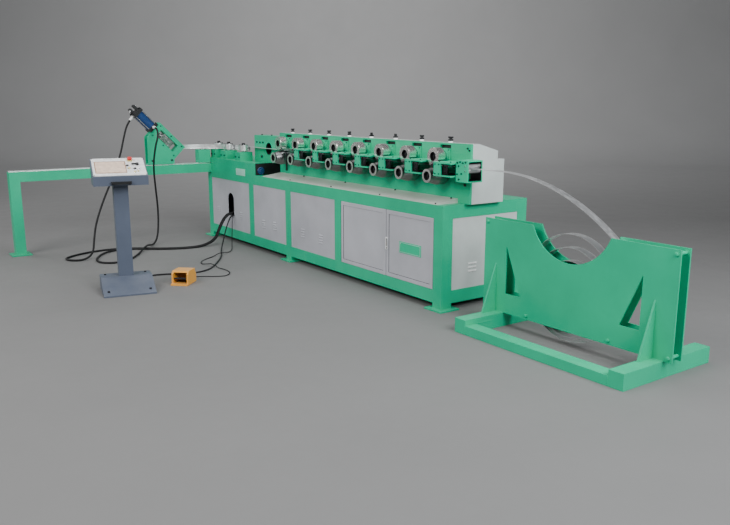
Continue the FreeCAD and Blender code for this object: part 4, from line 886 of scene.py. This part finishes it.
CORDS = {
    "hose_rear": [
        (-4.19, -0.87439, 1.40254), (-4.19, -0.94, 1.33693), (-4.16, -1, 1.18), (-4.07, -1.075, 1),
        (-3.96, -1.2, 0.78), (-3.86, -1.345, 0.56), (-3.76, -1.47, 0.33), (-3.66, -1.53, 0.165),
        (-3.57, -1.57, 0.05), (-3.478, -1.675, 0.0105), (-3.512, -1.8, 0.0105),
        (-3.642, -1.838, 0.0105), (-3.77, -1.72, 0.0105), (-3.875, -1.51, 0.0105),
        (-3.905, -1.29, 0.0105), (-3.82, -1.06, 0.0105), (-3.65, -0.86, 0.0105), (-3.53, -0.62, 0.0105),
        (-3.53, -0.4, 0.0105), (-3.59, -0.23, 0.06), (-3.622, -0.165, 0.18), (-3.64, -0.095, 0.285),
        (-3.645, -0.02, 0.335), (-3.645, 0.07, 0.335),
    ],
    "hose_head": [
        (-4.13, -0.671, 1.284), (-4.03, -0.671, 1.284), (-3.95, -0.685, 1.205), (-3.945, -0.73, 1.08),
        (-4, -0.745, 0.86), (-4.05, -0.715, 0.62), (-4.08, -0.69, 0.38), (-4.07, -0.7, 0.18),
        (-4.01, -0.745, 0.05), (-3.9, -0.83, 0.0105), (-3.81, -0.9, 0.03), (-3.765, -0.94, 0.038),
        (-3.695, -0.985, 0.038), (-3.635, -1.03, 0.03), (-3.52, -1.11, 0.0105), (-3.33, -1.23, 0.0105),
        (-3.19, -1.35, 0.0105), (-3.16, -1.48, 0.0105), (-3.23, -1.58, 0.0105), (-3.36, -1.6, 0.0105),
        (-3.51, -1.55, 0.0105), (-3.68, -1.46, 0.0105), (-3.8, -1.335, 0.0105), (-3.83, -1.18, 0.0105),
        (-3.75, -1.03, 0.0105), (-3.598, -0.85, 0.0105), (-3.495, -0.62, 0.0105),
        (-3.495, -0.4, 0.0105), (-3.555, -0.23, 0.06), (-3.587, -0.165, 0.18), (-3.603, -0.095, 0.285),
        (-3.605, -0.02, 0.335), (-3.605, 0.07, 0.335),
    ],
    "console_cable": [
        (-2.19884, -1.52457, 0.06), (-2.26927, -1.5096, 0.06), (-2.37, -1.465, 0.0075),
        (-2.43, -1.37, 0.0075), (-2.41, -1.25, 0.0075), (-2.33, -1.12, 0.0075), (-2.3, -0.98, 0.0075),
        (-2.36, -0.84, 0.0075), (-2.49, -0.73, 0.0075), (-2.65, -0.62, 0.0075), (-2.82, -0.51, 0.0075),
        (-3.005, -0.418, 0.0075), (-3.197, -0.337, 0.0075), (-3.37, -0.24, 0.04), (-3.48, -0.16, 0.13),
        (-3.55, -0.085, 0.24), (-3.588, -0.02, 0.318), (-3.588, 0.07, 0.318),
    ],
    "pedal_cable": [
        (-2.07553, -1.16206, 0.02), (-2.1043, -1.13427, 0.02), (-2.15, -1.08, 0.008),
        (-2.14, -1, 0.0045), (-2.07, -0.92, 0.0045), (-2.03, -0.83, 0.0045), (-2.09, -0.75, 0.0045),
        (-2.2, -0.71, 0.0045), (-2.31, -0.715, 0.0045), (-2.4, -0.735, 0.006), (-2.45, -0.742, 0.024),
        (-2.5, -0.752, 0.027), (-2.55, -0.765, 0.02), (-2.64, -0.79, 0.0045), (-2.73, -0.77, 0.0045),
        (-2.82, -0.7, 0.0045), (-2.88, -0.62, 0.0045), (-2.93, -0.54, 0.006), (-2.955, -0.49, 0.02),
        (-2.975, -0.44, 0.024), (-3, -0.385, 0.018), (-3.05, -0.31, 0.0045), (-3.14, -0.24, 0.0045),
        (-3.238, -0.19, 0.01), (-3.335, -0.145, 0.038), (-3.42, -0.102, 0.098), (-3.486, -0.066, 0.17),
        (-3.524, -0.046, 0.246), (-3.574, -0.014, 0.33), (-3.574, 0.07, 0.33),
    ],
}
# Diameter, real length, skin and stiffness of each cord
CORD_KINDS = {
    "hose_rear": (0.020, 4.275, hose_skin, "stiff"),
    "hose_head": (0.020, 4.954, hose_skin, "stiff"),
    "console_cable": (0.014, 2.541, cable_skin, "medium"),
    "pedal_cable": (0.008, 2.520, cable_skin, "medium"),
}


def strain_relief(shape, end, following, thick):
    """A ribbed sleeve that tapers from a cord's end towards its next point."""
    rings = [(thick * 0.68, -0.001), (thick * 0.68, thick * 0.45), (thick * 0.62, thick * 0.5)]
    for rib in range(4):
        height = thick * (0.55 + 0.4 * rib)
        outer = thick * (0.62 - 0.02 * rib)
        rings += [(outer, height), (outer, height + thick * 0.2), (thick * 0.54, height + thick * 0.25)]
    lathe(shape, rings, facing(end, Vector(following) - Vector(end)))


reliefs = bmesh.new()
for name, points in CORDS.items():
    thick, length, skin, stiffness = CORD_KINDS[name]
    line = bpy.data.curves.new(name, "CURVE")
    line.dimensions = "3D"
    spline = line.splines.new("NURBS")
    spline.points.add(len(points) - 1)
    for knot, point in zip(spline.points, points):
        knot.co = (*at(*point), 1)
    spline.order_u = 3
    spline.use_endpoint_u = True
    spline.resolution_u = 8
    line.bevel_depth = thick / 2
    line.bevel_resolution = 3
    line.use_fill_caps = True
    line.materials.append(skin)
    cord = add_object(f"{name}_line", line)
    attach(cord, MACHINE)
    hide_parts(name)
    strain_relief(reliefs, points[-1], points[-2], thick)
    if skin is cable_skin:
        strain_relief(reliefs, points[0], points[1], thick)
new_piece("strain_reliefs", reliefs, [black_plastic])

# Floor, light and camera. The floor sweeps up behind the machine, and its far end has a paler grey, so
# that the whole ground looks as even as the photo's.

VIEW_TURN = math.radians(54.913)
NEAR_GREY, FAR_GREY, CLOUD_GREY = (0.165,) * 3, (0.46,) * 3, (0.26,) * 3
floor_skin = Nodes("studio_floor")
floor_spot = floor_skin.add("ShaderNodeVectorMath", operation="DOT_PRODUCT")
floor_skin.join(floor_skin.place(), floor_spot.inputs[0])
floor_spot.inputs[1].default_value = (-math.sin(VIEW_TURN), math.cos(VIEW_TURN), 0)
far_share = floor_skin.ramp(floor_spot.outputs["Value"], 0, 1, 4.0, 15.0)
floor_grey = floor_skin.mix(far_share, NEAR_GREY, FAR_GREY)
clouds = floor_skin.ramp(floor_skin.noise(0.6, 4.0), 0, 0.12, 0.3, 0.7)
floor_tint = floor_skin.mix(clouds, floor_grey, CLOUD_GREY)
floor_gloss = floor_skin.ramp(floor_skin.noise(3.0, 4.0), 0.62, 0.80, 0.3, 0.7)
floor_bump = floor_skin.bump(floor_skin.noise(60.0, 3.0), 0.08, 0.002)
floor_material = floor_skin.finish(floor_tint, floor_gloss, floor_bump)
SWEEP_HALF, SWEEP_NEAR, SWEEP_FAR, SWEEP_RADIUS, SWEEP_TOP = 22.0, -12.0, 13.0, 4.0, 12.0
FLOOR_LEVEL = -0.0008
CURVE_STEPS = 12
profile = [(SWEEP_NEAR, FLOOR_LEVEL), (SWEEP_FAR, FLOOR_LEVEL)]
for step in range(1, CURVE_STEPS + 1):
    angle = math.pi / 2 * step / CURVE_STEPS
    profile.append((SWEEP_FAR + SWEEP_RADIUS * math.sin(angle), SWEEP_RADIUS * (1 - math.cos(angle))))
profile.append((SWEEP_FAR + SWEEP_RADIUS, SWEEP_TOP))
sweep = bmesh.new()
turned_view = Matrix.Rotation(VIEW_TURN, 4, "Z")
rows = [[sweep.verts.new(turned_view @ Vector((side, run, height))) for run, height in profile]
        for side in (-SWEEP_HALF, SWEEP_HALF)]
for step in range(len(profile) - 1):
    sweep.faces.new((rows[0][step], rows[1][step], rows[1][step + 1], rows[0][step + 1]))
floor_mesh = bpy.data.meshes.new("floor")
sweep.to_mesh(floor_mesh)
sweep.free()
floor_mesh.materials.append(floor_material)
floor_mesh.shade_smooth()
add_object("floor", floor_mesh)


def soft_light(name, place, target, width, height, power, colour=(1, 1, 1)):
    """A soft box at place that shines at target."""
    lamp = bpy.data.lights.new(name, "AREA")
    lamp.shape = "RECTANGLE"
    lamp.size = width
    lamp.size_y = height
    lamp.energy = power
    lamp.color = colour
    holder = add_object(name, lamp)
    holder.location = place
    holder.rotation_euler = (Vector(target) - Vector(place)).to_track_quat("-Z", "Y").to_euler()


soft_light("key_light", (1.4, -6.5, 5.0), (-0.4, 0.2, 0.6), 5.0, 3.0, 500, (1.0, 0.985, 0.96))
soft_light("side_light", (6.5, 0.5, 4.2), (0.4, 0.3, 0.5), 4.0, 3.0, 520, (0.97, 0.985, 1.0))
soft_light("top_light", (-1.0, 1.0, 6.5), (-1.0, 0.4, 0.0), 7.0, 4.0, 230)
soft_light("left_light", (-6.5, -4.0, 3.0), (-2.0, 0.0, 0.8), 3.0, 3.0, 110)
soft_light("backdrop_light", (-7.0, 5.0, 8.0), (-13.5, 9.5, 1.5), 8.0, 3.0, 420)

world = bpy.data.worlds.new("studio")
world.use_nodes = True
sky = world.node_tree.nodes["Background"]
sky.inputs["Color"].default_value = (0.80, 0.82, 0.85, 1)
sky.inputs["Strength"].default_value = 0.22
bpy.context.scene.world = world

# The camera stands where the photo's calibration puts it.

lens = bpy.data.cameras.new("camera")
lens.lens = 36.85
lens.sensor_width = 36
lens.clip_end = 100
camera = add_object("camera", lens)
camera.location = (5.3421, -2.9418, 1.5234)
camera.rotation_euler = (math.radians(78.127), 0, VIEW_TURN)
bpy.context.scene.camera = camera
